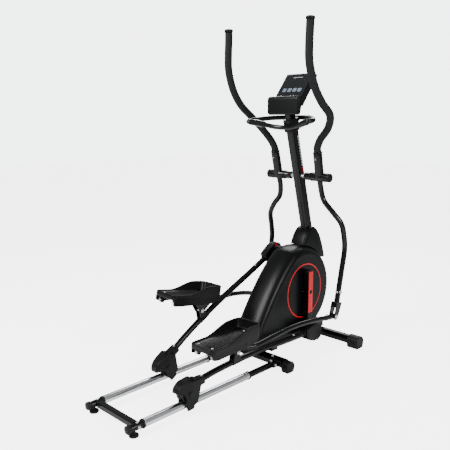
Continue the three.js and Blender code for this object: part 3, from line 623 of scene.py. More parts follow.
def housing_ring(inset, y):
    """Side outline of the housing, drawn in from its edge by inset."""
    radius = HOUSING_RADIUS - inset
    bottom = HOUSING_BOTTOM + inset
    rear = HOUSING_REAR + inset
    tail = (rear, HOUSING_BOTTOM + 52 + inset * 0.4)
    front = (CRANK.x + 70, bottom)
    ring = [(rear + (front[0] - rear) * i / 12, bottom) for i in range(13)]
    ring += arc(CRANK.x, CRANK.z, radius, -68, 112, 110)
    control = (CRANK.x - 250 + inset * 0.85, CRANK.z + 102 - inset * 0.6)
    ring += bend(ring[-1], control, tail, 70)
    return [(x, y, z) for x, z in ring]


def housing_shell(side, letter):
    """Half of the housing, 4 mm thick, with full round sides and a shallow step round its flat."""
    place = Place(side=side)
    seam = 0.15
    wall = 4
    steps = 28
    fullness = 2 / 2.4                 # 1 would be a plain quarter of an ellipse
    recess = 0.7                       # of the flat, below the round edge

    def half(inset):
        rings = []
        for i in range(steps + 1):
            angle = math.radians(90 * i / steps)
            inward = inset + ROUNDING * (1 - max(math.cos(angle), 0) ** fullness)
            across = seam + (HALF_WIDTH - seam - inset) * math.sin(angle) ** fullness
            rings.append(housing_ring(inward, across))
        flat = HALF_WIDTH - inset
        rings.append(housing_ring(ROUNDING + inset + 4, flat))
        rings.append(housing_ring(ROUNDING + inset + 7, flat - recess))
        return rings

    outside = loft(f"housing_half_{letter}", place, half(0))
    inner = half(wall)
    inner[0] = [(x, y - 3, z) for x, y, z in inner[0]]
    inside = loft("housing_room", place, inner)
    axle = rod("axle_room", place, 22, 0, 120, (CRANK.x, 0, CRANK.z))
    front = node_box("main_frame")[1].x
    post = slab("post_room", place, (front - 90, -5, 60), (front + 60, 28.3, 230))
    beam = slab("beam_room", place, (HOUSING_REAR - 30, -5, 60), (front + 20, 28, HOUSING_BOTTOM + 10))
    mast = mast_length("mast_room", place, 460, 640, 1.5)
    shell = weighted(cut(outside, inside, axle, post, beam, mast))
    dress(shell, "frame", HOUSING, "plastic", f"housing_shell_{letter}")

    ring = [(143, -1), (149.4, -1), (149.4, 1.1), (148.4, 1.8), (144, 1.8), (143, 1.1)]
    hoop = lathe(f"red_ring_{letter}", place, ring, (CRANK.x, HALF_WIDTH - 0.9, CRANK.z), sides=120)
    dress(hoop, "frame", RED, "plastic")
    for k, x in enumerate((CRANK.x - 200, CRANK.x - 182)):
        low, high = (x, HALF_WIDTH - 2, 128), (x + 12, HALF_WIDTH - 0.8, 134)
        mark = slab(f"red_mark_{k + 1}_{letter}", place, low, high)
        dress(eased(mark, 0.4, 2), "frame", RED, "plastic")
    screws = [(-150, -190), (120, -170), (-20, 205), (170, 60), (-300, -200)]
    head = [(0, 0), (5, 0), (5, 1), (3.6, 1.4), (0, 1.4)]
    for k, (x, z) in enumerate(screws):
        at = (CRANK.x + x, HALF_WIDTH - 2.2, CRANK.z + z)
        screw = lathe(f"housing_screw_{k + 1}_{letter}", place, head, at, sides=24)
        dress(screw, "frame", CAPS, "cap_plastic")


def mast_length(name, place, z0, z1, grow=0.0, size=(62, 46), radius=16):
    """Length of the mast's rounded section, between two heights."""
    section = round_box(size[0] + 2 * grow, size[1] + 2 * grow, radius + grow, 10)
    rings = []
    for z in (z0, z1):
        ring = []
        for along, across in section:
            ring.append((mast_x(z) + along * math.cos(MAST_LEAN), across, z + along * math.sin(MAST_LEAN)))
        rings.append(ring)
    return loft(name, place, rings)


def mast_boot():
    low, high = node_box("mast_boot")
    start = (low.x, 500)
    outline = [start]
    outline += bend(start, (520, 668), (600, 670), 22)
    outline += bend((600, 670), (668, 668), (722, 480), 22)
    boot = prism("mast_shroud", WORLD, outline, low.y, high.y)
    eased(boot, 12, 6, 40)
    applied(boot)
    body = loft("body", WORLD, [housing_ring(0, -HALF_WIDTH), housing_ring(0, HALF_WIDTH)])
    room = mast_length("room", WORLD, 480, 740, 0.4)
    cut(boot, body, room)
    boot.data.shade_smooth()
    dress(boot, "frame", HOUSING, "plastic", "mast_boot")


def mast():
    low, high = node_box("mast")
    column = mast_length("mast_tube", WORLD, low.z + 8, high.z - 8)
    cut(column, rod("bore", WORLD, 12.3, -60, 60, (PIVOT.x, 0, PIVOT.z)))
    column.data.shade_smooth()
    dress(column, "frame", PAINT, "paint", "mast")
    weighted(column)
    height = 10
    lean = MAST_SLOPE * height
    marks = [(WHITE, 1168 - k * 15) for k in range(11)]
    marks += [(RED, 1000 - k * 15) for k in range(3)]
    for side, letter in SIDES:
        place = Place(side=side)
        for k, (material, z) in enumerate(marks):
            x = mast_x(z) + 8
            outline = [(x, z), (x + 12, z), (x + 12 + lean, z - height), (x + lean, z - height)]
            mark = prism(f"mast_mark_{k + 1:02d}_{letter}", place, outline, 22.9, 23.3)
            dress(mark, "frame", material, "paint")


def weighted(piece):
    """Keeps flat faces flat and round edges round."""
    step = piece.modifiers.new("normals", "WEIGHTED_NORMAL")
    step.keep_sharp = True
    return piece


# ---- cranks
def crank_arm(side, letter):
    """Square cover over the crank arm, with a red stripe on its outer face."""
    place = Place(CRANK.x, 0, CRANK.z, 0 if side > 0 else math.pi, side)
    low, high = node_box(f"crank_arm_{letter}")
    inner = min(abs(low.y), abs(high.y))
    outer = node_box("bearing_cover_L")[0].y - 3.5
    half = (high.x - low.x) / 2
    tail = 118
    tip = CRANK_RADIUS + 20
    arm = slab(f"crank_cover_{letter}", place, (-half, inner, -tail), (half, outer, tip))
    eased(arm, 4.5, 5)
    applied(arm)
    cut(arm, rod("hole", place, 9, -6, 6, (0, outer, 0), 40))
    dress(arm, "crank", PLASTIC, "plastic", f"crank_arm_{letter}")
    weighted(arm)
    edge = half - 0.8
    stripe = slab(f"crank_stripe_{letter}", place, (-edge, outer - 1, 5 - tail), (edge, outer + 0.5, 114))
    eased(stripe, 1.2, 3)
    applied(stripe)
    cut(stripe, rod("hole", place, 11, -6, 6, (0, outer, 0), 40))
    dress(stripe, "crank", RED, "plastic")
    nut = lathe(f"crank_nut_{letter}", place, [(0, 0), (7.5, 0), (7.5, 3), (5.5, 3.8), (0, 3.8)],
                (0, outer - 5.5, 0), sides=6)
    dress(nut, "crank", PAINT, "steel")


# ---- foot bars and rollers
def foot_bar(side, letter):
    place = foot_bar_place(side, letter)
    length = foot_bar_length()
    body = f"foot_bar_{letter}"
    points = [(65.3, 0, 24), (160, 0, 31), (300, 0, 33), (480, 0, 25), (700, 0, 6), (length - 16, 0, -8)]
    bar = sweep(f"foot_tube_{letter}", place, route(points), 15)
    dress(bar, body, PAINT, "paint", f"foot_bar_{letter}")
    eye = tube(f"crank_eye_{letter}", place, 9, 24, -14, 14, (length, 0, 0))
    dress(eased(eye, 1.5), body, PAINT, "paint")

    along, above = pedal_pivot(side, letter)
    cheek = [(along - 30, 24), (along + 30, 24)] + arc(along, above, 11, 20, 160, 16)
    for k, (y0, y1) in enumerate(((11, 17), (-17, -11))):
        plate = prism(f"pivot_cheek_{k + 1}_{letter}", place, cheek, y0, y1)
        dress(eased(plate, 1.2), body, PAINT, "paint")
    web = slab(f"pivot_web_{letter}", place, (along - 26, -11, 26), (along + 26, 11, 52))
    dress(eased(web, 2), body, PAINT, "paint")
    pin = rod(f"pivot_pin_{letter}", place, 6, -25, 25, (along, 0, above))
    dress(eased(pin, 1), body, STEEL, "steel")
    for where, d in (("out", 1), ("in", -1)):
        bolt(f"pivot_bolt_{where}_{letter}", place, (along, 25 * d, above), "y", 8, 5, body, d)
    for k, x in enumerate((90, length - 170)):
        at = (x, 0, bar_height(points, x) + 14.4)
        bolt(f"foot_bar_bolt_{k + 1}_{letter}", place, at, "z", 5.5, 4.5, body)


def bar_height(points, x):
    line = route(points)
    return min(line, key=lambda p: abs(p.x - x)).z


def pedal_pivot(side, letter):
    """Pedal pivot in the foot bar's own frame: along it, and above its chord."""
    place = foot_bar_place(side, letter)
    pivot = joint_at(f"pedal_tilt_{letter}")
    dx = pivot.x - place.origin[0]
    dz = pivot.z - place.origin[2]
    return dx * place.cos + dz * place.sin, dz * place.cos - dx * place.sin


def bearing_cover(side, letter):
    """Rounded cover over the crank bearing at the front end of the foot bar."""
    place = foot_bar_place(side, letter)
    length = foot_bar_length()
    outline = [(-84, -28), (-84, 22)]
    outline += bend((-84, 22), (-30, 33), (8, 30))
    outline += bend((8, 30), (46, 26), (50, -12))
    outline += bend((50, -12), (50, -52), (12, -60))
    outline += bend((12, -60), (-34, -62), (-84, -28))[:-1]
    cover = prism(f"crank_bearing_cover_{letter}", place, [(x + length, z) for x, z in outline], -16.5, 26)
    eye = rod("eye", place, 24.4, -30, 14.4, (length, 0, 0))
    bar = sweep("bar", place, straight((length - 218, 0, 6), (length, 0, -9)), 17, lip=0)
    cut(cover, eye, bar)
    moulded(cover, 1.5, 5)
    dress(cover, f"foot_bar_{letter}", PLASTIC, "plastic", f"bearing_cover_{letter}")
    rib = [(-74, -23), (-74, 16)] + bend((-74, 16), (-28, 27), (6, 24))
    rib += bend((6, 24), (40, 20), (44, -12)) + bend((44, -12), (43, -46), (10, -53))
    rib += bend((10, -53), (-30, -55), (-74, -23))[:-1]
    panel = prism(f"bearing_cover_panel_{letter}", place, [(x + length, z) for x, z in rib], 25, 27)
    dress(eased(panel, 1.5, 4, 50), f"foot_bar_{letter}", PLASTIC, "plastic")
    head = [(0, 0), (4, 0), (4, 0.8), (2.6, 1.2), (0, 0.4)]
    for k, (x, z) in enumerate(((-52, -2), (16, -8))):
        name = f"bearing_cover_screw_{k + 1}_{letter}"
        screw = lathe(name, place, head, (length + x, 26.8, z), sides=24)
        dress(screw, f"foot_bar_{letter}", CAPS, "cap_plastic")
    lip = [(16, -93), (18.4, -93), (19.2, -92), (19.2, -81), (16, -81)]
    collar = lathe(f"bearing_cover_lip_{letter}", place, lip, (length, 0, -2.5), "x")
    dress(collar, f"foot_bar_{letter}", CAPS, "cap_plastic")
    tag = slab(f"bearing_cover_tag_{letter}", place, (length + 4, -17.4, 16), (length + 26, -15.5, 24))
    dress(eased(tag, 0.5, 2), f"foot_bar_{letter}", RED, "plastic")


def roller(side, letter):
    axle = joint_at(f"foot_bar_tilt_{letter}")
    place = foot_bar_place(side, letter)
    low, high = node_box(f"roller_wheel_{letter}")
    lip = (high.x - low.x) / 2
    groove = [(lip, -17)] + [(axle.z - RAIL_Z - math.sqrt(19.9 ** 2 - y ** 2), y) for y in range(-14, 15, 2)]
    groove = [(min(r, lip - 0.2), y) for r, y in groove]
    flank = [(6.3, 21), (16, 21), (18, 18), (lip - 6, 18), (lip - 4, 21), (lip - 1, 21), (lip, 20)]
    wheel_profile = [(r, -y) for r, y in flank] + groove + [(lip, 17)] + flank[::-1]
    wheel = lathe(f"grooved_roller_{letter}", place, wheel_profile, sides=64)
    dress(wheel, f"roller_{letter}", CAPS, "cap_plastic", f"roller_wheel_{letter}")
    pin = rod(f"roller_pin_{letter}", place, 6, -33, 33)
    dress(eased(pin, 1), f"carriage_{letter}", STEEL, "steel", f"roller_axle_{letter}")
    for where, d in (("out", 1), ("in", -1)):
        cap = [(0, 0), (10, 0), (10, d * 2), (8.5, d * 3.2), (0, d * 3.4)]
        plug = lathe(f"roller_plug_{where}_{letter}", place, cap, (0, 31 * d, 0))
        dress(plug, f"foot_bar_{letter}", CAPS, "cap_plastic")


def roller_cover(side, letter):
    """Angular cover over the roller: arched opening at the rear, cheeks down beside the rail."""
    place = foot_bar_place(side, letter)
    outline = [(-64, 16), (-62, 30)] + bend((-62, 30), (-50, 54), (-14, 55))
    outline += [(38, 51), (62, 20), (36, -54), (18, -58), (14, -73), (-20, -73), (-25, -56), (-26, -22)]
    outline += bend((-26, -22), (-26, 14), (-64, 16))[:-1]
    cover = prism(f"roller_shroud_{letter}", place, outline, -32, 32)
    tapers = []
    for face in (1, -1):
        rings = []
        for z in (-90, 90):
            crease = 6 + 0.4 * z
            plan = [(crease, 32.2), (crease - 110, 14.5), (crease - 110, 70), (crease, 70)]
            rings.append([(x, face * y, z) for x, y in plan])
        tapers.append(loft("taper", place, rings))
    wheel = rod("wheel", place, 46, -22.5, 22.5, sides=64)
    rail = slab("rail", place, (-130, -22.5, -100), (130, 22.5, 0))
    pin = rod("pin", place, 6.3, -50, 50)
    cut(cover, *tapers, wheel, rail, pin)
    moulded(cover, 1.3, 2)
    dress(cover, f"foot_bar_{letter}", PLASTIC, "plastic", f"roller_cover_{letter}")
    outline = [(40, 6), (40, 45), (78, 43), (98, 41), (98, 9), (78, 8)]
    neck = prism(f"shroud_neck_{letter}", place, outline, -19, 19)
    dress(eased(neck, 4, 4), f"foot_bar_{letter}", PLASTIC, "plastic")
    bolt(f"shroud_bolt_{letter}", place, (34, 0, 51), "z", 8, 8, f"foot_bar_{letter}", material=CAPS)


# ---- link arms and pedals
PEDAL_FLOOR = 65
PEDAL_TILT = math.radians(-3.2)
PEDAL_REAR = -230
PEDAL_FRONT = 92
PEDAL_MIDDLE = 14
PEDAL_TREAD = 18                       # of the floor above the tray's underside


def pedal_place(side, letter):
    place = link_place(side, letter)
    slope = math.atan2(place.sin, place.cos) + PEDAL_TILT
    return Place(*place.origin, slope, side)


def link_arm(side, letter):
    place = link_place(side, letter)
    body = f"pedal_{letter}"
    length = link_length(letter)
    outward = LINK_PIN_Y - RAIL_Y
    points = [
        (20, 24, 16), (46, 40, 12), (80, 56, 13), (124, 64, 17), (188, 72, 24), (300, 84, 34),
        (390, 95, 33), (480, 106, 25), (570, outward, 11), (length, outward, 0),
    ]
    arm = sweep(f"link_tube_{letter}", place, route(points), LINK_RADIUS)
    dress(arm, body, PAINT, "paint", f"link_arm_{letter}")
    eye = tube(f"link_eye_{letter}", place, 6, LINK_EYE_RADIUS, -9, 9, (length, outward, 0))
    dress(eased(eye, 1.2), body, PAINT, "paint")
    line = straight((length - 76, outward, 11.6), (length - 19, outward, 3))
    flange = sweep(f"link_collar_{letter}", place, line, LINK_RADIUS + 0.9)
    dress(flange, body, PAINT, "paint")
    bolt(f"link_bolt_{letter}", place, (length - 50, outward - 3, 20.2), "z", 6, 5, body)

    tray = pedal_place(side, letter)
    side_plate = [(-66, PEDAL_FLOOR - 2), (78, PEDAL_FLOOR - 2)] + arc(0, 0, 13, -35, -145, 16)
    for k, y in enumerate((17.3, -22.3)):
        plate = prism(f"pedal_bracket_{k + 1}_{letter}", tray, side_plate, y, y + 5)
        bore = rod("bore", tray, 6.3, y - 5, y + 10)
        dress(eased(cut(plate, bore), 1.0, 2), body, PAINT, "paint")
    for k, x in enumerate((-52, -26, 4)):
        bolt(f"pedal_bracket_bolt_{k + 1}_{letter}", tray, (x, 22.3, PEDAL_FLOOR - 30), "y", 4, 3, body)
    low = (PEDAL_REAR + 20, -30, PEDAL_FLOOR - 5)
    high = (PEDAL_FRONT - 12, 48, PEDAL_FLOOR - 0.3)
    table = slab(f"pedal_plate_{letter}", tray, low, high)
    dress(eased(table, 1), body, PAINT, "paint")


def pedal_plan(inset):
    """Plan of the pedal, a little wider at the heel than at the toes."""
    rear_half, front_half, radius = 73 - inset, 71 - inset, 24 - inset * 0.6
    front, rear = PEDAL_FRONT - inset - radius, PEDAL_REAR + inset + radius
    plan = arc(front, front_half - radius, radius, 0, 90, 10)
    steps = 36
    for i in range(1, steps):
        plan.append((front + (rear - front) * i / steps, front_half + (rear_half - front_half) * i / steps))
    plan += arc(rear, rear_half - radius, radius, 90, 180, 10)
    plan += arc(rear, radius - rear_half, radius, 180, 270, 10)
    for i in range(1, steps):
        plan.append((rear + (front - rear) * i / steps, (rear_half - front_half) * i / steps - rear_half))
    plan += arc(front, radius - front_half, radius, 270, 360, 10)
    return plan


def wall_top(x):
    """Height of the pedal's wall above its pivot: low at the heel, rising in an S to the toes."""
    share = min(max((x + 140) / 160, 0), 1)
    rise = share * share * (3 - 2 * share)
    return PEDAL_FLOOR + 26 + 40 * rise


def pedal(side, letter):
    """Foot tray with rounded walls, a ribbed and studded floor, and lugs under its heel."""
    place = pedal_place(side, letter)
    body = f"pedal_{letter}"

    def ring(inset, height):
        return [(x, y + PEDAL_MIDDLE, height(x)) for x, y in pedal_plan(inset)]

    floor = PEDAL_FLOOR + PEDAL_TREAD
    rings = [
        ring(5, lambda x: PEDAL_FLOOR + 0.1),
        ring(1.5, lambda x: PEDAL_FLOOR + 2),
        ring(0.2, lambda x: PEDAL_FLOOR + 8),
        ring(0, lambda x: wall_top(x) - 3),
        ring(0.6, lambda x: wall_top(x) - 1),
        ring(2, lambda x: wall_top(x)),
        ring(4, lambda x: wall_top(x)),
        ring(5.4, lambda x: wall_top(x) - 1.2),
        ring(6.2, lambda x: wall_top(x) - 4),
        ring(9, lambda x: floor + 5),
        ring(11, lambda x: floor + 1.5),
        ring(15, lambda x: floor),
    ]
    tray = loft(f"foot_tray_{letter}", place, rings)
    dress(tray, body, PLASTIC, "plastic", f"pedal_{letter}")

    ribs = []
    for k in range(7):
        y = PEDAL_MIDDLE + (k - 3) * 14
        low = (PEDAL_REAR + 30, y - 1.2, floor - 0.5)
        high = (PEDAL_FRONT - 34, y + 1.2, floor + 1.1)
        ribs.append(slab(f"tread_rib_{k + 1}_{letter}", place, low, high))
    studs = []
    for i in range(16):
        for k in range(6):
            at = (PEDAL_REAR + 40 + i * 14, PEDAL_MIDDLE + (k - 2.5) * 14, floor)
            studs.append(lathe("stud", place, [(0, -0.4), (3, -0.4), (2.4, 1), (0, 1.5)], at, "z", 10))
    tread = merge(ribs[0], *ribs[1:], *studs)
    tread.name = f"tread_{letter}"
    dress(tread, body, PLASTIC, "plastic")

    for k, (x, y) in enumerate(((-196, 52), (-196, -34), (58, 4))):
        bolt(f"tread_screw_{k + 1}_{letter}", place, (x, y, floor), "z", 4, 2.6, body)
    skirt = [(PEDAL_REAR + 8, PEDAL_FLOOR + 12), (PEDAL_REAR + 8, PEDAL_FLOOR - 20)]
    skirt += bend((PEDAL_REAR + 8, PEDAL_FLOOR - 20), (-204, PEDAL_FLOOR - 30), (-176, PEDAL_FLOOR - 30))
    skirt += [(40, PEDAL_FLOOR - 22), (78, PEDAL_FLOOR - 6), (78, PEDAL_FLOOR + 12)]
    for where, y in (("out", PEDAL_MIDDLE + 64.5), ("in", PEDAL_MIDDLE - 69.5)):
        wall = prism(f"pedal_skirt_{where}_{letter}", place, skirt, y, y + 5)
        dress(eased(wall, 1.8, 3), body, PLASTIC, "plastic")
        arch = lathe(f"pedal_eye_{where}_{letter}", place, [(4, -3), (11, -3), (11, 3), (9, 3.6), (4, 3.6)],
                     (-4, y + 2.5, PEDAL_FLOOR - 8), sides=32)
        dress(arch, body, PLASTIC, "plastic")
    for k, y in enumerate((PEDAL_MIDDLE - 58, PEDAL_MIDDLE + 42)):
        lug = [(-218, PEDAL_FLOOR + 3), (-172, PEDAL_FLOOR + 3), (-182, PEDAL_FLOOR - 16)]
        lug += arc(-196, PEDAL_FLOOR - 20, 13, 0, -180, 14)[1:]
        block = prism(f"heel_lug_{k + 1}_{letter}", place, lug, y, y + 16)
        dress(eased(block, 2, 3), body, PLASTIC, "plastic")
        bolt(f"heel_bolt_{k + 1}_{letter}", place, (-208.5, y + 8, PEDAL_FLOOR - 16), "x", 6.5, 5, body, -1)


# ---- handles
def handle(side, letter):
    place = handle_place(side, letter)
    body = f"handle_{letter}"
    hub_y = 137
    reach = 194
    lower = [(3, hub_y, -12), (16, hub_y, -58), (28, 151, -122), (38, 204, -181), (59, 246, -240),
             (77, 254, -308), (85, LINK_PIN_Y, -370), (65, LINK_PIN_Y, -493), (35, LINK_PIN_Y, -655)]
    bar = sweep(f"handle_tube_{letter}", place, route(lower, steps=16), 14.5)
    dress(bar, body, PAINT, "paint", f"handle_lower_{letter}")

    hub = [(12.3, 46), (18, 46), (20, 48), (20, 84), (23, 88), (23, reach - 2), (21, reach), (12.3, reach)]
    dress(lathe(f"handle_hub_{letter}", place, hub), body, PAINT, "paint")
    for k, y in enumerate((90, 176)):
        ring = [(22.5, -1.6), (23.9, -1.2), (23.9, 1.2), (22.5, 1.6)]
        dress(lathe(f"hub_ring_{k + 1}_{letter}", place, ring, (0, y, 0)), body, CAPS, "cap_plastic")
    cap = [(0, 0.3), (22, 0.3), (23, 1.2), (23, 3.4), (21.8, 3.9), (21.8, 4.6), (23, 5.2), (23, 8.6),
           (21.5, 10.4), (17, 11.3), (0, 11.3)]
    hub_cap = lathe(f"hub_end_cap_{letter}", place, cap, (0, reach, 0))
    dress(hub_cap, body, CAPS, "cap_plastic", f"hub_cap_{letter}")

    top = Vector((-30, hub_y + 1, 133))
    base = Vector((0, hub_y, 0))
    collar = sweep(f"handle_collar_{letter}", place, straight(base, top), COLLAR_RADIUS, sides=40, lip=3)
    dress(collar, body, PAINT, "paint")
    line = straight(base.lerp(top, 0.93), base.lerp(top, 0.97))
    seam = sweep(f"collar_seam_{letter}", place, line, COLLAR_RADIUS + 0.7, sides=40)
    dress(seam, body, CAPS, "cap_plastic")
    screw_at = base.lerp(top, 0.72) + Vector((-COLLAR_RADIUS, 0, -3))
    bolt(f"collar_screw_{letter}", place, tuple(screw_at), "x", 4, 3, body, -1, STEEL)

    grip_points = [tuple(top + Vector((0, 0, 1))), (-34, hub_y + 2, 151), (-43, 161, 193), (-55, 214, 253),
                   (-94, 249, 312), (-167, 252, 367), (-217, 250, 421), (-248, 248, 474), (-274, 245, 553),
                   (-277, 243, 615), (-274, 241, 695), (-273, 241, 735)]
    grip = sweep(f"foam_grip_{letter}", place, route(grip_points, steps=16), GRIP_RADIUS, sides=40, lip=2.5)
    dress(grip, body, FOAM, "foam", f"handle_grip_{letter}")
    cap = [(0, 0.5), (19, 0.5), (20.4, 1.2), (20.8, 4), (22, 8), (22.5, 12), (21.5, 15), (17.5, 17.8),
           (9, 19.2), (0, 19.6)]
    mushroom = lathe(f"grip_end_cap_{letter}", place, [(r, h + 735.5) for r, h in cap], (-273, 241, 0), "z")
    dress(mushroom, body, PLASTIC, "plastic", f"grip_cap_{letter}")
    clevis(letter, place, body)
    bolt(f"handle_side_bolt_{letter}", place, (47, LINK_PIN_Y + 14, -600), "y", 8, 5, body)
    bolt(f"handle_rear_bolt_{letter}", place, (33, LINK_PIN_Y, -600), "x", 6, 4.5, body, -1)


def clevis(letter, place, body):
    """Fork at the lower end of the handle, with a bolt through its two cheeks."""
    px, pz = LINK_PIN_FORWARD, -LINK_PIN_BELOW
    outline = [(px + 1, pz + 78), (px + 49, pz + 68), (px + 18, pz - 4)]
    outline += arc(px, pz, CLEVIS_RADIUS, -20, -190, 16)
    fork = prism(f"clevis_{letter}", place, outline, LINK_PIN_Y - 18, LINK_PIN_Y + 18)
    slot = slab("slot", place, (px - 60, LINK_PIN_Y - 13.5, pz - 80), (px + 80, LINK_PIN_Y + 13.5, pz + 50))
    cut(fork, slot)
    dress(eased(fork, 2, 3, 40), body, PAINT, "paint")
    for where, d in (("out", 1), ("in", -1)):
        bolt(f"clevis_bolt_{where}_{letter}", place, (px, LINK_PIN_Y + 18 * d, pz), "y", 9, 5, body, d)


# ---- pulse bar and console
PULSE_Z = 1224


def pulse_bar():
    """Closed loop round the mast, with thicker hand grips and bright contact plates."""
    x = mast_x(PULSE_Z)
    half = [(x - 48, 0, -14), (x - 58, 66, -10), (x - 94, 146, 8), (x - 118, 194, 16), (x - 92, 200, 22),
            (x - 20, 140, 34), (x + 38, 62, 38)]
    points = half + [(x + 44, 0, 38)] + [(px, -py, pz) for px, py, pz in reversed(half[1:])]
    line = route([(px, py, PULSE_Z + pz) for px, py, pz in points], closed=True)
    loop = sweep("pulse_loop", WORLD, line, 12.5, closed=True)
    dress(loop, "frame", PAINT, "paint", "pulse_bar")

    clamp = mast_length("pulse_clamp", WORLD, PULSE_Z - 30, PULSE_Z + 31, 9)
    room = mast_length("room", WORLD, PULSE_Z - 60, PULSE_Z + 60, 0.4)
    dress(eased(cut(clamp, room), 2, 3, 60), "frame", PLASTIC, "plastic")
    for where, x0, x1, z0 in (("rear", -50, -34, -22), ("front", 22, 44, 20)):
        tie = slab(f"pulse_tie_{where}", WORLD, (x + x0, -20, PULSE_Z + z0), (x + x1, 20, PULSE_Z + z0 + 18))
        dress(eased(tie, 2), "frame", PAINT, "paint")
    for side, letter in SIDES:
        place = Place(side=side)
        grip_points = [(x - 77, 112, PULSE_Z), (x - 94, 146, PULSE_Z + 8), (x - 116, 188, PULSE_Z + 15)]
        grip_line = route(grip_points)
        sleeve = sweep(f"pulse_grip_{letter}", place, grip_line, 15.5, lip=2)
        dress(sleeve, "frame", PLASTIC, "plastic")
        for where, lift in (("top", 1), ("under", -1)):
            plate = sweep(f"pulse_plate_{where}_{letter}", place,
                          [p + Vector((0, 0, lift * 8.6)) for p in grip_line[5:-5]], 8.6, flat=0.9)
            dress(plate, "frame", CHROME, "chrome")


def panel_slope():
    axis = next(j for j in frame["joints"] if j["name"] == "button_press_1")["axis"]
    return math.atan2(axis[0], -axis[2])


def console():
    low, high = node_box("console_housing")
    foot = Place(408, 0, 1352, panel_slope())
    half = (high.y - low.y) / 2

    outline = [(386, 1274), (376, 1274)] + bend((376, 1274), (364, 1275), (364, 1288))
    outline += [(364, 1350)] + bend((364, 1350), (364, 1368), (382, 1368)) + [(398, 1368), (398, 1308)]
    nose = cushion("console_front", WORLD, outline, half, 15)
    dress(nose, "frame", PLASTIC, "plastic", "console_housing")

    length = 174
    back = [(-4, 0), (length, 0), (length, -24), (-20, -30)]
    wedge = prism("console_back", foot, back, 12 - half, half - 12)
    room = slab("room", foot, (-7, -84, -1.3), (length - 6, 84, 20))
    cut(wedge, room)
    dress(eased(wedge, 5, 4, 50), "frame", PLASTIC, "plastic")
    neck = mast_length("console_neck", WORLD, node_box("mast")[1].z - 10, 1336, -4)
    dress(neck, "frame", PAINT, "paint")

    screen = slab("display_panel", foot, (12, -83, -1), (length - 7, 83, 3))
    wells = []
    for k in range(6):
        y = (k - 2.5) * 20
        wells.append(slab("well", foot, (16.6, y - 6.4, -3), (27.4, y + 6.4, 8)))
    dress(eased(cut(screen, *wells), 1.2, 2), "frame", SCREEN, "screen", "console_panel")
    window = slab("display_window", foot, (78, -66, 2.6), (128, 66, 3.2))
    dress(eased(window, 0.3, 2), "frame", WINDOW, "screen")
    for k in range(4):
        digits = []
        for n in range(2):
            y = (k - 1.5) * 32 + (n - 0.5) * 11
            digits += figure_eight(foot, 60, y)
        group = merge(digits[0], *digits[1:])
        group.name = f"display_figures_{k + 1}"
        dress(group, "frame", BLUE, "screen")
    badge = slab("display_strip", foot, (143, -30, 2.8), (146, 30, 3.2))
    dress(eased(badge, 0.3, 2), "frame", WHITE, "screen")
    for k in range(6):
        y = (k - 2.5) * 20
        key = slab(f"key_{k + 1}", foot, (17, y - 6, 1.8), (27, y + 6, 5))
        dress(eased(key, 1.4, 3), f"button_{k + 1}", PLASTIC, "button", f"button_{k + 1}")
        if k in (1, 2, 5):
            arrow = [(18.6, y - 3.6, 4.6), (18.6, y + 3.6, 4.6), (25, y, 4.6)]
            mark = loft(f"key_mark_{k + 1}", foot, [arrow, [(px, py, 5.3) for px, py, _ in arrow]])
            dress(mark, f"button_{k + 1}", WHITE, "button")


def figure_eight(place, x, y):
    """Seven lit bars of one display figure."""
    tall, wide, line = 20, 8, 2.6

    def bar(along, across, length, breadth):
        low = (along - length / 2, across - breadth / 2, 2.8)
        high = (along + length / 2, across + breadth / 2, 3.4)
        return slab("bar", place, low, high)

    bars = [bar(x + level * tall / 2, y, line, wide) for level in (-1, 0, 1)]
    for level in (-0.5, 0.5):
        for edge in (-1, 1):
            bars.append(bar(x + level * tall / 2, y + edge * wide / 2, tall / 2 - 2, line))
    return bars


# ---- CAD pieces that stay
def kept_nodes():
    looks = {
        "main_frame": PAINT, "crank_axle": STEEL, "crank_pulley": STEEL, "magnet_bracket": STEEL,
        "flywheel": IRON, "drive_belt": RUBBER, "idler_pulley": CAPS, "pivot_axle": STEEL,
    }
    for name, material in looks.items():
        node = frame["nodes"][name]
        node.data.materials.clear()
        node.data.materials.append(material)
        weld = node.modifiers.new("weld", "WELD")
        weld.merge_threshold = 0.00002
        eased(node, 1.5, 3, 40)


# ---- stage, light and camera
FLOOR_GLOW = 4.4                       # of the floor, where the camera sees it
BACKDROP = 5.0                         # of the room, where the camera sees it
ROOM_LIGHT = 0.3                       # of the room, as a light


def seen_directly(tree, otherwise, value, socket):
    """Gives the socket one value where the camera looks straight at it, and another elsewhere."""
    path = tree.nodes.new("ShaderNodeLightPath")
    choice = tree.nodes.new("ShaderNodeMapRange")
    set_inputs(choice, To_Min=otherwise, To_Max=value)
    tree.links.new(path.outputs["Is Camera Ray"], choice.inputs["Value"])
    tree.links.new(choice.outputs["Result"], socket)


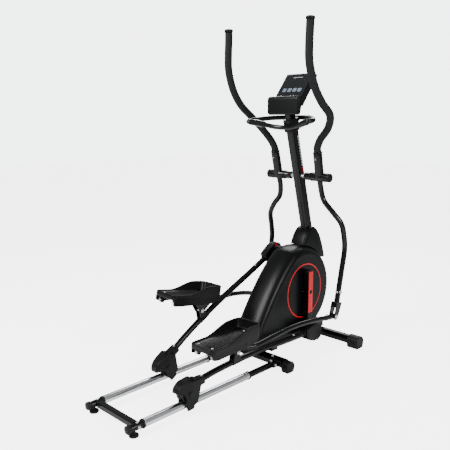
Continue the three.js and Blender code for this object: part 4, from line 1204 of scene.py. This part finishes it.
def stage():
    floor = bpy.data.meshes.new("floor")
    size = 14
    corners = [(-size, -size, 0), (size, -size, 0), (size, size, 0), (-size, size, 0)]
    floor.from_pydata(corners, [], [(0, 1, 2, 3)])
    ground = bpy.data.objects.new("floor", floor)
    bpy.context.scene.collection.objects.link(ground)
    material, tree, shader = nodes_of("pale_floor")
    set_inputs(shader, Base_Color=(0.93, 0.93, 0.93, 1), Roughness=0.9)
    set_inputs(shader, Specular_IOR_Level=0.1, Emission_Color=(1, 1, 1, 1))
    seen_directly(tree, 0.0, FLOOR_GLOW, shader.inputs["Emission Strength"])
    floor.materials.append(material)

    world = bpy.data.worlds.new("studio")
    world.use_nodes = True
    background = world.node_tree.nodes["Background"]
    set_inputs(background, Color=(0.94, 0.97, 1, 1))
    seen_directly(world.node_tree, ROOM_LIGHT, BACKDROP, background.inputs["Strength"])
    bpy.context.scene.world = world


def softbox(name, at, aim, size, power):
    light = bpy.data.lights.new(name, "AREA")
    light.shape = "RECTANGLE"
    light.size, light.size_y = size
    light.energy = power
    lamp = bpy.data.objects.new(name, light)
    lamp.location = at
    lamp.rotation_euler = (Vector(aim) - Vector(at)).to_track_quat("-Z", "Y").to_euler()
    bpy.context.scene.collection.objects.link(lamp)


def lights():
    softbox("key", (-2.6, 1.0, 3.0), (0.1, 0, 0.6), (1.4, 1.8), 150)
    softbox("fill", (-0.6, -3.4, 2.2), (0.1, 0, 0.6), (2.2, 0.8), 85)
    softbox("rim", (2.4, 1.2, 2.8), (0.1, 0, 0.7), (2.2, 1.4), 60)


def camera():
    data = bpy.data.cameras.new("camera")
    data.sensor_width = 36
    data.lens = 46.4
    eye = bpy.data.objects.new("camera", data)
    azimuth, elevation = math.radians(-45.56), math.radians(10.131)
    right = Vector((math.cos(azimuth), math.sin(azimuth), 0))
    level, drop = math.cos(elevation), math.sin(elevation)
    forward = Vector((-math.sin(azimuth) * level, math.cos(azimuth) * level, -drop))
    up = right.cross(forward)
    turn = Matrix((right, up, -forward)).transposed().to_4x4()
    eye.matrix_world = Matrix.Translation((-1.9852, -1.8986, 1.2415)) @ turn
    bpy.context.scene.collection.objects.link(eye)
    bpy.context.scene.camera = eye


camera()
stage()
lights()
kept_nodes()
cross_bars()
mast_boot()
mast()
pulse_bar()
console()
for side, letter in SIDES:
    rails(side, letter)
    rail_brackets(side, letter)
    housing_shell(side, letter)
    crank_arm(side, letter)
    foot_bar(side, letter)
    bearing_cover(side, letter)
    roller(side, letter)
    roller_cover(side, letter)
    link_arm(side, letter)
    pedal(side, letter)
    handle(side, letter)
